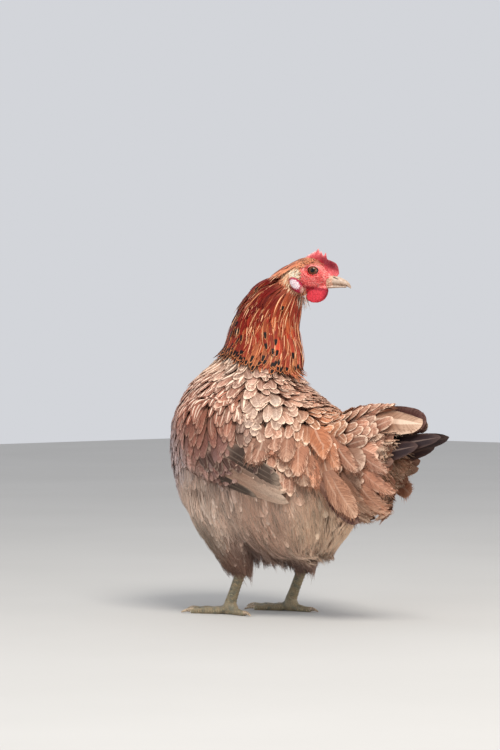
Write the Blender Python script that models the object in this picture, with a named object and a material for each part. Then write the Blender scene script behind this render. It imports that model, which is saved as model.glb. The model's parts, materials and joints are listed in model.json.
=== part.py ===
"""A life-size hen at rest, standing and looking back over her right shoulder.

Every solid is in metres, +Z up, with the breast towards -Y and the tail towards +Y, so her left
side is at +X. She is shaped in a stance frame, whose origin lies on the floor between her feet,
and an empty carries that frame so that the whole bird is centred over the world origin.
Each solid is the outer form of its part of the bird, out to the tips of the feathers.
"""

import math

import bmesh
import bpy
import numpy as np
from mathutils import Matrix, Vector
from mathutils.bvhtree import BVHTree

# ---------------------------------------------------------------- driving dimensions, in metres
STANCE = (0.0, -0.0862, 0.0)  # where the point between the feet lies in the world
GAP = 0.0004  # clearance that every two neighbouring parts keep
HEAD_HEIGHT = 0.3585  # floor to the eyes
HEAD_AT = (-0.046, 0.042)  # the eyes' midpoint from the point between the feet
HEAD_TURN = math.radians(143)  # how far the bill points away from straight ahead, clockwise
FOOT_HALF_SPREAD = 0.036
FOOT_BACK = 0.008  # the balls of the feet lie this far behind the point between them
FOOT_STAGGER = 0.009  # the left foot stands this far ahead of that and the right foot behind
HOCK = (0.037, 0.040, 0.074)  # the left ankle joint, hidden in the fluff of the drumstick
TOE_RADIUS = 0.0042
BALL_RADII = (0.0080, 0.0080, 0.0066)
FLOOR_BITE = 0.0010  # how much of a round underside is pressed flat

# The trunk from the neck's opening round to the tail's root. Each row is one section: the back
# line's y and z, the breast and belly line's y and z, the half width, and how much wider the
# section is below its middle.
TRUNK_SECTIONS = (
    (0.038, 0.252, -0.050, 0.263, 0.034, 0.00),
    (0.052, 0.242, -0.078, 0.237, 0.057, 0.00),
    (0.064, 0.234, -0.094, 0.196, 0.072, 0.00),
    (0.080, 0.227, -0.094, 0.148, 0.077, 0.02),
    (0.094, 0.221, -0.073, 0.101, 0.077, 0.04),
    (0.106, 0.216, -0.026, 0.070, 0.073, 0.06),
    (0.117, 0.211, 0.038, 0.058, 0.064, 0.08),
    (0.125, 0.206, 0.094, 0.066, 0.050, 0.08),
    (0.131, 0.199, 0.127, 0.104, 0.033, 0.04),
)

# The neck with its hackle, from inside the shoulders up into the head. Each row is one section:
# its centre's x, y and z, then its half length fore and aft and its half width.
NECK_SECTIONS = (
    (-0.006, -0.007, 0.226, 0.054, 0.043),
    (-0.008, -0.005, 0.250, 0.052, 0.042),
    (-0.010, 0.001, 0.272, 0.041, 0.037),
    (-0.014, 0.001, 0.292, 0.037, 0.036),
    (-0.019, 0.004, 0.312, 0.033, 0.033),
    (-0.025, 0.013, 0.330, 0.029, 0.029),
    (-0.032, 0.024, 0.344, 0.021, 0.021),
)

# The head from the nape to the bill's root, in its own frame, with x ahead of the eyes and z
# above them. Each row is x, the crown's height, the throat's height and the half width.
HEAD_SECTIONS = (
    (-0.0330, 0.0010, -0.0310, 0.0160),
    (-0.0220, 0.0086, -0.0288, 0.0180),
    (-0.0110, 0.0130, -0.0256, 0.0172),
    (0.0000, 0.0124, -0.0220, 0.0148),
    (0.0080, 0.0078, -0.0200, 0.0116),
    (0.0145, 0.0008, -0.0184, 0.0082),
    (0.0190, -0.0032, -0.0170, 0.0062),
)

# The two halves of the bill, as rows of x, upper edge, lower edge and half width.
UPPER_BILL = (
    (0.0150, -0.0034, -0.0156, 0.0060),
    (0.0215, -0.0052, -0.0152, 0.0052),
    (0.0280, -0.0072, -0.0155, 0.0042),
    (0.0335, -0.0100, -0.0164, 0.0030),
    (0.0368, -0.0136, -0.0176, 0.0018),
    (0.0384, -0.0166, -0.0184, 0.0009),
)
LOWER_BILL = (
    (0.0150, -0.0150, -0.0188, 0.0054),
    (0.0220, -0.0150, -0.0182, 0.0044),
    (0.0285, -0.0152, -0.0180, 0.0031),
    (0.0335, -0.0160, -0.0181, 0.0017),
)

# The comb's blade, from behind over its points to the front. Each row is the foot's x and z, the
# edge's x and z and the half thickness at the foot.
COMB_SECTIONS = (
    (-0.0110, 0.0105, -0.0112, 0.0136, 0.0012),
    (-0.0060, 0.0100, -0.0055, 0.0170, 0.0020),
    (-0.0010, 0.0095, 0.0008, 0.0205, 0.0024),
    (0.0020, 0.0085, 0.0046, 0.0236, 0.0025),
    (0.0040, 0.0075, 0.0060, 0.0198, 0.0025),
    (0.0055, 0.0065, 0.0076, 0.0205, 0.0025),
    (0.0070, 0.0050, 0.0100, 0.0158, 0.0025),
    (0.0085, 0.0040, 0.0122, 0.0194, 0.0025),
    (0.0100, 0.0020, 0.0136, 0.0126, 0.0025),
    (0.0125, -0.0010, 0.0175, 0.0108, 0.0025),
    (0.0155, -0.0040, 0.0228, 0.0080, 0.0024),
    (0.0185, -0.0065, 0.0256, 0.0030, 0.0022),
    (0.0210, -0.0080, 0.0264, -0.0030, 0.0018),
)

# The folded left wing, from the wrist back to the tips of the flight feathers: y, its upper and
# lower edge, and how far it stands out from the flank.
WING_SECTIONS = (
    (-0.043, 0.206, 0.178, 0.004),
    (-0.036, 0.218, 0.163, 0.007),
    (-0.018, 0.226, 0.151, 0.009),
    (0.008, 0.226, 0.142, 0.010),
    (0.036, 0.218, 0.134, 0.010),
    (0.060, 0.201, 0.127, 0.009),
    (0.080, 0.177, 0.121, 0.008),
    (0.096, 0.149, 0.116, 0.006),
    (0.106, 0.125, 0.113, 0.004),
)
WING_ROOT_DEPTH = 0.004  # how far the wing's inner face would reach into the flank

# The left drumstick in its fluff, from the flank down to the hock: its centre's x, y and z, its
# half length fore and aft and its half width.
THIGH_SECTIONS = (
    (0.050, -0.004, 0.146, 0.031, 0.020),
    (0.050, 0.000, 0.124, 0.035, 0.026),
    (0.048, 0.006, 0.098, 0.032, 0.025),
    (0.043, 0.014, 0.075, 0.024, 0.021),
    (0.040, 0.022, 0.057, 0.016, 0.015),
    (0.038, 0.027, 0.046, 0.010, 0.010),
)

# The tail's body of coverts, from the rump back: y, the upper and lower edge, the half width.
TAIL_SECTIONS = (
    (0.106, 0.206, 0.112, 0.028),
    (0.130, 0.213, 0.099, 0.031),
    (0.156, 0.219, 0.100, 0.029),
    (0.182, 0.221, 0.111, 0.025),
    (0.206, 0.221, 0.130, 0.020),
    (0.226, 0.218, 0.151, 0.014),
    (0.240, 0.212, 0.170, 0.008),
)

# The main tail feathers of one side, from the middle pair outwards: how far each rises above
# level, in degrees, how far it splays, its length from the root and its half width.
TAIL_FEATHERS = (
    (8.0, 1.5, 0.160, 0.015),
    (4.0, 2.5, 0.158, 0.015),
    (-1.0, 3.5, 0.138, 0.015),
    (-7.0, 4.5, 0.116, 0.014),
    (-14.0, 5.5, 0.098, 0.013),
)
TAIL_ROOT = (0.006, 0.112, 0.178)
TAIL_FEATHER_HALF_THICKNESS = 0.0007
TAIL_FEATHER_SAG = 0.010

# Each toe: the way it points, in degrees out from straight ahead, its length and its claw's.
TOES = {
    "inner": (-32.0, 0.038, 0.012),
    "middle": (0.0, 0.052, 0.013),
    "outer": (30.0, 0.041, 0.012),
    "hind": (172.0, 0.025, 0.011),
}

# Each finish's colour and roughness.
FINISHES = {
    "buff_plumage": ((0.47, 0.28, 0.17), 0.75),
    "pale_fluff": ((0.62, 0.50, 0.40), 0.85),
    "golden_hackle": ((0.55, 0.17, 0.05), 0.60),
    "red_flesh": ((0.68, 0.04, 0.05), 0.45),
    "ear_lobe": ((0.80, 0.70, 0.68), 0.55),
    "horn": ((0.62, 0.47, 0.32), 0.35),
    "eye": ((0.20, 0.06, 0.02), 0.08),
    "scaled_leg": ((0.42, 0.34, 0.20), 0.50),
}

UP = (0, 0, 1)
LEFT = (0, 1, 0)  # in the head's frame
OUT = (1, 0, 0)  # in the stance frame


# ---------------------------------------------------------------- making shapes
def through(rows, count):
    """The rows' values at evenly spaced steps of a smooth curve that passes through them all."""
    rows = np.array(rows, float)
    slopes = np.gradient(rows, axis=0)
    place = np.linspace(0, len(rows) - 1, count)
    start = np.minimum(place.astype(int), len(rows) - 2)
    t = (place - start)[:, None]
    a, b = rows[start], rows[start + 1]
    da, db = slopes[start], slopes[start + 1]
    return (
        a * (2 * t**3 - 3 * t**2 + 1)
        + da * (t**3 - 2 * t**2 + t)
        + b * (3 * t**2 - 2 * t**3)
        + db * (t**3 - t**2)
    )


def unit(vector):
    return vector / np.linalg.norm(vector)


def oval(centre, along, across, half_along, half_across, sides, wide_end=0.0):
    """A ring of points round an oval, wider towards +along if wide_end is over 0."""
    turn = np.linspace(0, 2 * math.pi, sides, endpoint=False)
    lean = 1 + wide_end * np.cos(turn)
    return (
        np.array(centre)
        + np.outer(half_along * np.cos(turn), along)
        + np.outer(half_across * np.sin(turn) * lean, across)
    )


def upright_oval(x, top, bottom, half_width, sides, wide_end=0.0):
    """A ring square to x, in the head's frame, from its top and bottom heights."""
    return oval((x, 0, (top + bottom) / 2), UP, LEFT, (top - bottom) / 2, half_width, sides, wide_end)


def domed(rings, bulge, steps=2):
    """The rings with their last one drawn in to a round end that stands out by bulge."""
    last = rings[-1]
    middle = last.mean(axis=0)
    outward = unit(middle - rings[-2].mean(axis=0))
    more = []
    for k in range(1, steps):
        angle = k / steps * math.pi / 2
        more.append(middle + (last - middle) * math.cos(angle) + outward * bulge * math.sin(angle))
    return list(rings) + more, middle + outward * bulge


def new_object(name, mesh):
    obj = bpy.data.objects.new(name, mesh)
    bpy.context.scene.collection.objects.link(obj)
    return obj


def loft(name, rings, first_bulge=0.0, last_bulge=0.0):
    """A closed skin over a row of rings that all have the same number of points."""
    rings, last_tip = domed(list(rings), last_bulge)
    rings, first_tip = domed(rings[::-1], first_bulge)
    sides = len(rings[0])
    bm = bmesh.new()
    loops = [[bm.verts.new(point) for point in ring] for ring in rings]
    for lower, upper in zip(loops, loops[1:]):
        for i in range(sides):
            j = (i + 1) % sides
            bm.faces.new((lower[i], lower[j], upper[j], upper[i]))
    for loop, tip in ((loops[0], last_tip), (loops[-1], first_tip)):
        point = bm.verts.new(tip)
        for i in range(sides):
            bm.faces.new((loop[i], loop[(i + 1) % sides], point))
    bmesh.ops.recalc_face_normals(bm, faces=bm.faces)
    mesh = bpy.data.meshes.new(name)
    bm.to_mesh(mesh)
    bm.free()
    mesh.shade_smooth()
    return new_object(name, mesh)


def directions(path):
    """The way that a path runs at each of its points."""
    forward = np.gradient(path, axis=0)
    return forward / np.linalg.norm(forward, axis=1)[:, None]


def tube(name, path, radii, sides, bulge=0.8):
    """A round limb along a path, with a radius at each point and rounded ends."""
    path = np.array(path, float)
    rings = []
    side = np.array((0.9, 0.1, 0.3))
    for point, way, radius in zip(path, directions(path), radii):
        side = unit(side - way * side.dot(way))
        rings.append(oval(point, side, np.cross(way, side), radius, radius, sides))
    return loft(name, rings, radii[0] * bulge, radii[-1] * bulge)


def ball(name, centre, radii, segments, rings):
    """A sphere drawn out along the three axes."""
    bm = bmesh.new()
    bmesh.ops.create_uvsphere(bm, u_segments=segments, v_segments=rings, radius=1.0)
    bmesh.ops.scale(bm, verts=bm.verts, vec=radii)
    bmesh.ops.translate(bm, verts=bm.verts, vec=centre)
    mesh = bpy.data.meshes.new(name)
    bm.to_mesh(mesh)
    bm.free()
    mesh.shade_smooth()
    return new_object(name, mesh)


def apply_modifiers(obj):
    """Replaces the object's mesh by what its modifiers make of it."""
    graph = bpy.context.evaluated_depsgraph_get()
    mesh = bpy.data.meshes.new_from_object(obj.evaluated_get(graph))
    obj.modifiers.clear()
    obj.data = mesh


def boolean(obj, other, operation):
    modifier = obj.modifiers.new(operation.lower(), "BOOLEAN")
    modifier.operation = operation
    modifier.object = other
    apply_modifiers(obj)
    bpy.data.objects.remove(other, do_unlink=True)


def swollen(obj):
    """A copy of the solid, thicker by the clearance all over, to cut its neighbours with."""
    copy = new_object(obj.name + "_cutter", obj.data.copy())
    modifier = copy.modifiers.new("clearance", "DISPLACE")
    modifier.strength = GAP
    modifier.mid_level = 0.0
    apply_modifiers(copy)
    return copy


def fit_against(obj, *neighbours):
    """Cuts the neighbours and their clearance away from the solid, so that they only meet."""
    for neighbour in neighbours:
        boolean(obj, swollen(neighbour), "DIFFERENCE")
    keep_largest_body(obj)
    return obj


def keep_largest_body(obj):
    """Removes the crumbs that a cut can leave beside the main body."""
    bm = bmesh.new()
    bm.from_mesh(obj.data)
    unseen = set(bm.verts)
    bodies = []
    while unseen:
        body, front = set(), [unseen.pop()]
        while front:
            vert = front.pop()
            body.add(vert)
            for edge in vert.link_edges:
                other = edge.other_vert(vert)
                if other in unseen:
                    unseen.remove(other)
                    front.append(other)
        bodies.append(body)
    bodies.sort(key=len)
    crumbs = [vert for body in bodies[:-1] for vert in body]
    bmesh.ops.delete(bm, geom=crumbs, context="VERTS")
    bm.to_mesh(obj.data)
    bm.free()


def press_flat(obj):
    """Cuts off what would lie under the floor, which leaves flats at floor level."""
    bpy.ops.mesh.primitive_cube_add(size=1.0, location=(0, 0, -0.5))
    boolean(obj, bpy.context.object, "DIFFERENCE")
    return obj


def on_side(name, side):
    return name + ("_left" if side > 0 else "_right")


# ---------------------------------------------------------------- body and neck
def build_trunk():
    """The body: sections that swing round from level at the neck to upright at the tail."""
    rings = []
    for back_y, back_z, front_y, front_z, half_width, wide_end in through(TRUNK_SECTIONS, 17):
        back = np.array((0.0, back_y, back_z))
        front = np.array((0.0, front_y, front_z))
        half = np.linalg.norm(front - back) / 2
        rings.append(oval((back + front) / 2, unit(front - back), OUT, half, half_width, 24, wide_end))
    return loft("trunk", rings, 0.004, 0.012)


def build_neck():
    """The neck in its hackle. Its sections stand square to its own curved line."""
    rows = through(NECK_SECTIONS, 11)
    rings = []
    for row, way in zip(rows, directions(rows[:, :3])):
        ahead = unit(np.array((0.0, -1.0, 0.0)) + way * way[1])
        rings.append(oval(row[:3], ahead, np.cross(way, ahead), row[3], row[4], 20))
    return loft("neck", rings, 0.01, 0.006)


# ---------------------------------------------------------------- head
def head_frame():
    """From the head's own frame (x along the bill, y to her left, z up) to the stance frame."""
    turn = Matrix.Rotation(-math.pi / 2 - HEAD_TURN, 4, "Z")
    return Matrix.Translation((*HEAD_AT, HEAD_HEIGHT)) @ turn


def build_head():
    rings = [upright_oval(*row, 18, 0.08) for row in through(HEAD_SECTIONS, 11)]
    return loft("head", rings, 0.006, 0.002)


def build_bill_half(name, rows):
    rings = [upright_oval(*row, 10) for row in through(rows, 7)]
    return loft(name, rings, 0.001, 0.0006)


def build_comb():
    """A single blade, thick at its foot and thin along its pointed edge."""
    rings = []
    for foot_x, foot_z, edge_x, edge_z, half_thick in COMB_SECTIONS:
        foot, edge = np.array((foot_x, 0, foot_z)), np.array((edge_x, 0, edge_z))
        half = np.linalg.norm(edge - foot) / 2
        rings.append(oval((foot + edge) / 2, unit(foot - edge), LEFT, half, half_thick, 8, 0.45))
    return loft("comb", rings, 0.0006, 0.0006)


def build_face(side):
    """One eye, ear lobe and wattle, in the head's frame."""
    eye = ball(on_side("eye", side), (0, side * 0.0086, 0), (0.0068, 0.0066, 0.0062), 12, 7)
    lobe_radii = (0.0078, 0.0030, 0.0086)
    lobe = ball(on_side("ear_lobe", side), (-0.0165, side * 0.0172, -0.0152), lobe_radii, 12, 7)
    wattle_radii = (0.0106, 0.0021, 0.0094)
    wattle = ball(on_side("wattle", side), (0.0036, side * 0.0070, -0.0241), wattle_radii, 12, 7)
    return eye, lobe, wattle


# ---------------------------------------------------------------- wings and tail
def build_wing(side, trunk):
    """A folded wing: a pad that follows the flank, its outer face crowned between its edges."""
    tree = BVHTree.FromObject(trunk, bpy.context.evaluated_depsgraph_get())
    turn = np.linspace(0, 2 * math.pi, 16, endpoint=False)
    rings = []
    for y, top, bottom, thick in through(WING_SECTIONS, 12):
        ring = []
        for z, out in zip((top + bottom) / 2 + (top - bottom) / 2 * np.cos(turn), np.sin(turn)):
            flank = tree.ray_cast(Vector((1, y, z)), Vector((-1, 0, 0)))[0].x
            crown = thick * (0.35 + 0.65 * abs(out) ** 0.7)
            ring.append((side * (flank + (crown if out > -1e-6 else -WING_ROOT_DEPTH)), y, z))
        rings.append(np.array(ring))
    return loft(on_side("wing", side), rings, 0.003, 0.003)


def tail_feather(side, number, rise, splay, length, half_width):
    """One broad quill feather: a thin blade with a round end, leaning outwards like a roof."""
    lean = math.radians(22 + 10 * number)
    across = np.array((side * math.sin(lean), 0, -math.cos(lean)))
    start = np.array((side * (TAIL_ROOT[0] + 0.002 * number), TAIL_ROOT[1], TAIL_ROOT[2] - 0.006 * number))
    rise, splay = math.radians(rise), math.radians(splay)
    way = np.array((side * math.sin(splay), math.cos(splay) * math.cos(rise), math.sin(rise)))
    face = unit(np.cross(way, across))
    rings = []
    for share in np.linspace(0.1, 0.97, 6):
        half = half_width * min(1.0, 0.5 + share) * math.sqrt(1 - share**8)
        thick = TAIL_FEATHER_HALF_THICKNESS * (1.4 - 0.6 * share)
        sag = np.array((0, 0, -TAIL_FEATHER_SAG * share**2))
        rings.append(oval(start + way * length * share + sag, across, face, half, thick, 6))
    return loft(f"feather_{side}_{number}", rings, 0.001, 0.003)


def build_tail():
    """Coverts round the root, and the main feathers standing out of them like a tent."""
    rings = []
    for y, top, bottom, half_width in through(TAIL_SECTIONS, 10):
        middle = (0, y, (top + bottom) / 2)
        rings.append(oval(middle, (0, 0, -1), OUT, (top - bottom) / 2, half_width, 18, 0.15))
    tail = loft("tail", rings, 0.006, 0.006)
    for side in (-1, 1):
        for number, row in enumerate(TAIL_FEATHERS):
            boolean(tail, tail_feather(side, number, *row), "UNION")
    return tail


# ---------------------------------------------------------------- legs
def ball_of_foot(side):
    return np.array((side * FOOT_HALF_SPREAD, FOOT_BACK - side * FOOT_STAGGER, 0.0))


def build_thigh(side):
    rings = []
    for x, y, z, half_length, half_width in through(THIGH_SECTIONS, 10):
        centre = (side * x, y - side * FOOT_STAGGER, z)
        rings.append(oval(centre, (0, 1, 0), OUT, half_length, half_width, 16))
    return loft(on_side("thigh", side), rings, 0.01, 0.004)


def build_shank(side):
    """The bare scaled shank, from the hock down to the ball of the foot."""
    hock = np.array((side * HOCK[0], HOCK[1] - side * FOOT_STAGGER, HOCK[2]))
    foot = ball_of_foot(side) + np.array((0, 0, 0.0105))
    steps = np.linspace(0, 1, 7)
    bow = np.outer(0.0015 * np.sin(math.pi * steps), UP)
    path = hock + np.outer(steps, foot - hock) + bow
    radii = 0.0050 + 0.0022 * (1 - steps) ** 2 + 0.0012 * steps**6
    return tube(on_side("shank", side), path, radii, 10)


def toe_path(side, angle, length):
    """A toe's centre line, from the ball of the foot down to the floor and along it."""
    bearing = math.radians(angle)
    way = np.array((side * math.sin(bearing), -math.cos(bearing), 0.0))
    t = np.linspace(0, 1, 5)
    lift = 0.0055 * np.clip(1 - t / 0.35, 0, 1) ** 2
    height = TOE_RADIUS * (1.12 - 0.34 * t) - FLOOR_BITE + lift
    return ball_of_foot(side) + np.outer(t, way * length) + np.outer(height, UP)


def build_toes(side):
    radii = TOE_RADIUS * (1.12 - 0.34 * np.linspace(0, 1, 5))
    return {
        name: tube(f"{name}_toe", toe_path(side, angle, length), radii, 8)
        for name, (angle, length, _) in TOES.items()
    }


def build_claw(side, name):
    """A horny claw: a short curved cone at the end of its toe."""
    angle, length, claw = TOES[name]
    toe = toe_path(side, angle, length)
    way = unit((toe[-1] - toe[-2]) * (1, 1, 0))
    t = np.linspace(0, 1, 5)
    height = 0.0006 + 0.0009 * np.sin(math.pi * t) - 0.0021 * t**1.6
    path = toe[-1] + np.outer(claw * t, way) + np.outer(height, UP)
    radii = 0.0024 * (1 - t) ** 0.75 + 0.0004
    return tube(on_side(f"claw_{name}", side), path, radii, 6, 0.5)


def build_lower_leg(side, *above):
    """The shank, the claws, and the foot: its ball and toes in one, pressed flat on the floor."""
    centre = ball_of_foot(side) + np.array((0, 0, BALL_RADII[2] - FLOOR_BITE))
    foot = ball(on_side("foot", side), centre, BALL_RADII, 12, 6)
    toes = build_toes(side)
    shank = fit_against(build_shank(side), foot, *toes.values(), *above)
    claws = [fit_against(build_claw(side, name), toe) for name, toe in toes.items()]
    for toe in toes.values():
        boolean(foot, toe, "UNION")
    return press_flat(foot), shank, claws


# ---------------------------------------------------------------- the whole bird
def material(name):
    found = bpy.data.materials.get(name)
    if found:
        return found
    made = bpy.data.materials.new(name)
    made.use_nodes = True
    shader = made.node_tree.nodes["Principled BSDF"]
    colour, roughness = FINISHES[name]
    shader.inputs["Base Color"].default_value = (*colour, 1.0)
    shader.inputs["Roughness"].default_value = roughness
    shader.inputs["Metallic"].default_value = 0.0
    return made


def finish(obj, stance, collection, colour):
    """Gives the solid its material and its place in the bird."""
    obj.data.materials.clear()
    obj.data.materials.append(material(colour))
    bpy.context.scene.collection.objects.unlink(obj)
    collection.objects.link(obj)
    obj.parent = stance


def build_hen():
    for obj in list(bpy.data.objects):
        bpy.data.objects.remove(obj, do_unlink=True)
    hen = bpy.data.collections.new("hen")
    bpy.context.scene.collection.children.link(hen)
    stance = bpy.data.objects.new("stance", None)
    stance.location = STANCE
    hen.objects.link(stance)

    trunk, neck = build_trunk(), build_neck()
    head, comb = build_head(), build_comb()
    upper, lower = build_bill_half("bill_upper", UPPER_BILL), build_bill_half("bill_lower", LOWER_BILL)
    eyes, lobes, wattles = zip(build_face(1), build_face(-1))
    for obj in (head, comb, upper, lower, *eyes, *lobes, *wattles):
        obj.data.transform(head_frame())
    fit_against(head, *eyes)
    fit_against(neck, trunk, head)
    fit_against(upper, head)
    fit_against(lower, head, upper)
    fit_against(comb, head, upper)
    for obj in (*lobes, *wattles):
        fit_against(obj, head, neck, lower)

    wings = [fit_against(build_wing(side, trunk), trunk, neck) for side in (1, -1)]
    thighs = [fit_against(build_thigh(side), trunk, *wings) for side in (1, -1)]
    tail = fit_against(build_tail(), trunk, *wings)
    lower_legs = [build_lower_leg(side, thigh, trunk) for side, thigh in zip((1, -1), thighs)]
    feet, shanks, claws = zip(*lower_legs)

    finishes = (
        ((trunk, tail, *wings), "buff_plumage"),
        (thighs, "pale_fluff"),
        ((neck, head), "golden_hackle"),
        ((comb, *wattles), "red_flesh"),
        (lobes, "ear_lobe"),
        ((upper, lower, *claws[0], *claws[1]), "horn"),
        (eyes, "eye"),
        ((*shanks, *feet), "scaled_leg"),
    )
    for objects, colour in finishes:
        for obj in objects:
            finish(obj, stance, hen, colour)


build_hen()
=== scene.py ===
"""A life-size hen at rest, looking back over her right shoulder: her skin, horn, eyes and plumage.

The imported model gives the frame. Lengths are in metres, and in millimetres in the tables. She is
shaped in a stance frame, whose origin lies on the floor between her feet, with +X her left side,
-Y her breast and +Z up, and each finished mesh is moved from there into the model's own frame.
"""

import json
import math

import bmesh
import bpy
import numpy as np
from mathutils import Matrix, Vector


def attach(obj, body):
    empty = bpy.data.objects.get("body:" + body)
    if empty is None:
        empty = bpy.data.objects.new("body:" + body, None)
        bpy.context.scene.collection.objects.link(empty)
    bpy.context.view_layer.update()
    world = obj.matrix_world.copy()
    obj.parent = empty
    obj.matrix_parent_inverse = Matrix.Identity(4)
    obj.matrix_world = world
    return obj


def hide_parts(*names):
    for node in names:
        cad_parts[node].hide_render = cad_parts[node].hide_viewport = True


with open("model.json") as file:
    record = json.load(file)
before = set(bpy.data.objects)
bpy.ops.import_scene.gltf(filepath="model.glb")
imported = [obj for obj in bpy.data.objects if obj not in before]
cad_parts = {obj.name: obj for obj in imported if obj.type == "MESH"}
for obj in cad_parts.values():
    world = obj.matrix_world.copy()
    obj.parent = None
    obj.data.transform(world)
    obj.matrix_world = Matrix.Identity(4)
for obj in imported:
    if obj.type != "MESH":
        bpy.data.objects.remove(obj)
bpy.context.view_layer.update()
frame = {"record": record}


# ---- the form of her body
# Under the plumage a hen is one smooth egg that runs from the neck into the tail. The sections are
# the solids' own, so this surface is the outer form that the tips of the feathers reach.
FOOT_BACK = 0.008  # how far behind the stance frame's origin the balls of the feet lie
soles = [np.array(mount["pos_m"]) for mount in frame["record"]["mounts"]]
STANCE = (soles[0] + soles[1]) / 2 - (0, FOOT_BACK, 0)


def mm(*rows, plain=0):
    """A table whose lengths are in millimetres, with plain columns at its end that have no unit."""
    rows = np.array(rows, float)
    rows[:, :rows.shape[1] - plain] /= 1000
    return rows


NECK_SECTIONS = mm(  # x, y and z of the centre, half length fore and aft, half width
    (-32, 24, 344, 21, 21),
    (-25, 13, 330, 29, 29),
    (-19, 4, 312, 33, 33),
    (-14, 1, 292, 37, 36),
    (-10, 1, 272, 41, 37),
)
TRUNK_SECTIONS = mm(  # back line's y and z, belly line's y and z, half width, extra width low down
    (47, 251, -50, 262, 39, 0.0),
    (56, 241, -77, 237, 56, 0.0),
    (64, 234, -94, 196, 72, 0.0),
    (80, 227, -94, 148, 77, 0.02),
    (94, 221, -73, 101, 77, 0.04),
    (106, 216, -26, 70, 73, 0.06),
    (117, 211, 38, 58, 64, 0.08),
    (125, 208, 94, 66, 50, 0.08),
    (132, 213, 128, 99, 33, 0.08),
    (156, 219, 154, 100, 29, 0.12),
    (182, 221, 182, 111, 25, 0.15),
    (206, 221, 206, 130, 20, 0.15),
    (226, 218, 226, 151, 14, 0.15),
    plain=1,
)
WING_SECTIONS = mm(  # y, upper and lower edge, how far the folded wing stands out from the flank
    (-43, 206, 178, 4),
    (-36, 218, 163, 7),
    (-18, 226, 151, 9),
    (8, 226, 142, 10),
    (36, 218, 134, 10),
    (60, 201, 127, 9),
    (80, 177, 121, 8),
    (96, 149, 116, 6),
    (106, 125, 113, 4),
)


def unit(vectors):
    """Each vector divided by its length."""
    return vectors / np.maximum(np.linalg.norm(vectors, axis=-1, keepdims=True), 1e-12)


def dot(a, b):
    return (a * b).sum(-1)


def smooth(low, high, value):
    """0 below low, 1 above high, and an S-shaped rise between them."""
    t = np.clip((value - low) / (high - low), 0, 1)
    return t * t * (3 - 2 * t)


def through(rows, place):
    """The rows' values along a cubic that passes through them all: place is 0 at the first row
    and 1 at the last, and the slope at a row is that of the line between its neighbours."""
    rows = np.asarray(rows, float)
    slopes = np.gradient(rows, axis=0)
    place = np.asarray(place, float) * (len(rows) - 1)
    start = np.clip(np.floor(place).astype(int), 0, len(rows) - 2)
    t = (place - start)[..., None]
    a, b, da, db = rows[start], rows[start + 1], slopes[start], slopes[start + 1]
    rise = t * t * (3 - 2 * t)
    return a + (b - a) * rise + da * t * (1 - t) ** 2 - db * t * t * (1 - t)


def section_rows():
    """Each section as a centre, a vector to its front edge, one to its left edge, and its lean."""
    neck, trunk = NECK_SECTIONS, TRUNK_SECTIONS
    way = unit(np.gradient(neck[::-1, :3], axis=0))[::-1]
    ahead = unit(np.array((0.0, -1.0, 0.0)) + way * way[:, 1:2])
    left = np.cross(way, ahead) * neck[:, 4:5]
    upper = np.hstack((neck[:, :3], ahead * neck[:, 3:4], left, neck[:, :1] * 0))
    nought = trunk[:, :1] * 0
    back, front = np.hstack((nought, trunk[:, 0:2])), np.hstack((nought, trunk[:, 2:4]))
    left = np.hstack((trunk[:, 4:5], nought, nought))
    lower = np.hstack(((back + front) / 2, (front - back) / 2, left, trunk[:, 5:6]))
    return np.vstack((upper, lower))


BODY_ROWS = section_rows()


def oval(row, turn):
    """A section's outline: centre + ahead * cos + left * sin * (1 + lean * cos)."""
    spread_out = np.sin(turn) * (1 + row[..., 9:10] * np.cos(turn))
    return row[..., 0:3] + row[..., 3:6] * np.cos(turn) + row[..., 6:9] * spread_out


def body(u, v):
    """The outer form: u runs from the top of the neck to the tail's end, and v once round, from
    the breast (0) over her left side (a quarter) to the back (a half)."""
    return oval(through(BODY_ROWS, u), v[..., None] * 2 * math.pi)


def measure(surface, u, v, gap=1e-4):
    """A surface's point, its slopes along u and v, and its outward normal, from small steps."""
    point = surface(u, v)
    along = (surface(u + gap, v) - point) / gap
    around = (surface(u, v + gap) - point) / gap
    return point, along, around, unit(np.cross(along, around))


def wing_pad(point):
    """How far the folded wing lifts the plumage off the flank at a point: the height falls off
    as (1 - c^2)^0.35 from the wing's middle line to its edges, where c is 1."""
    y, *columns = WING_SECTIONS.T
    top, bottom, thick = (np.interp(point[..., 1], y, column) for column in columns)
    share = (point[..., 2] - (top + bottom) / 2) / ((top - bottom) / 2)
    ends = smooth(-0.05, -0.034, point[..., 1]) * (1 - smooth(0.098, 0.112, point[..., 1]))
    crown = np.clip(1 - share**2, 0, 1) ** 0.35
    return thick * crown * ends * smooth(0.02, 0.045, np.abs(point[..., 0]))


def coat(u, v):
    """The body's outer form with the folded wings on it."""
    point, _, _, normal = measure(body, u, v)
    return point + normal * wing_pad(point)[..., None]


def place_mesh(name, points, faces):
    """One mesh object from an array of points in the stance frame and arrays of faces, each of
    which holds faces with one number of corners."""
    mesh = bpy.data.meshes.new(name)
    points = np.asarray(points, float) + STANCE
    mesh.vertices.add(len(points))
    mesh.vertices.foreach_set("co", points.ravel())
    corners = np.concatenate([f.ravel() for f in faces])
    sizes = np.concatenate([np.full(len(f), f.shape[1]) for f in faces])
    mesh.loops.add(len(corners))
    mesh.loops.foreach_set("vertex_index", corners.astype(np.int32))
    mesh.polygons.add(len(sizes))
    mesh.polygons.foreach_set("loop_start", (np.cumsum(sizes) - sizes).astype(np.int32))
    mesh.polygons.foreach_set("loop_total", sizes.astype(np.int32))
    mesh.update(calc_edges=True)
    mesh.shade_smooth()
    obj = bpy.data.objects.new(name, mesh)
    bpy.context.scene.collection.objects.link(obj)
    return obj


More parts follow.
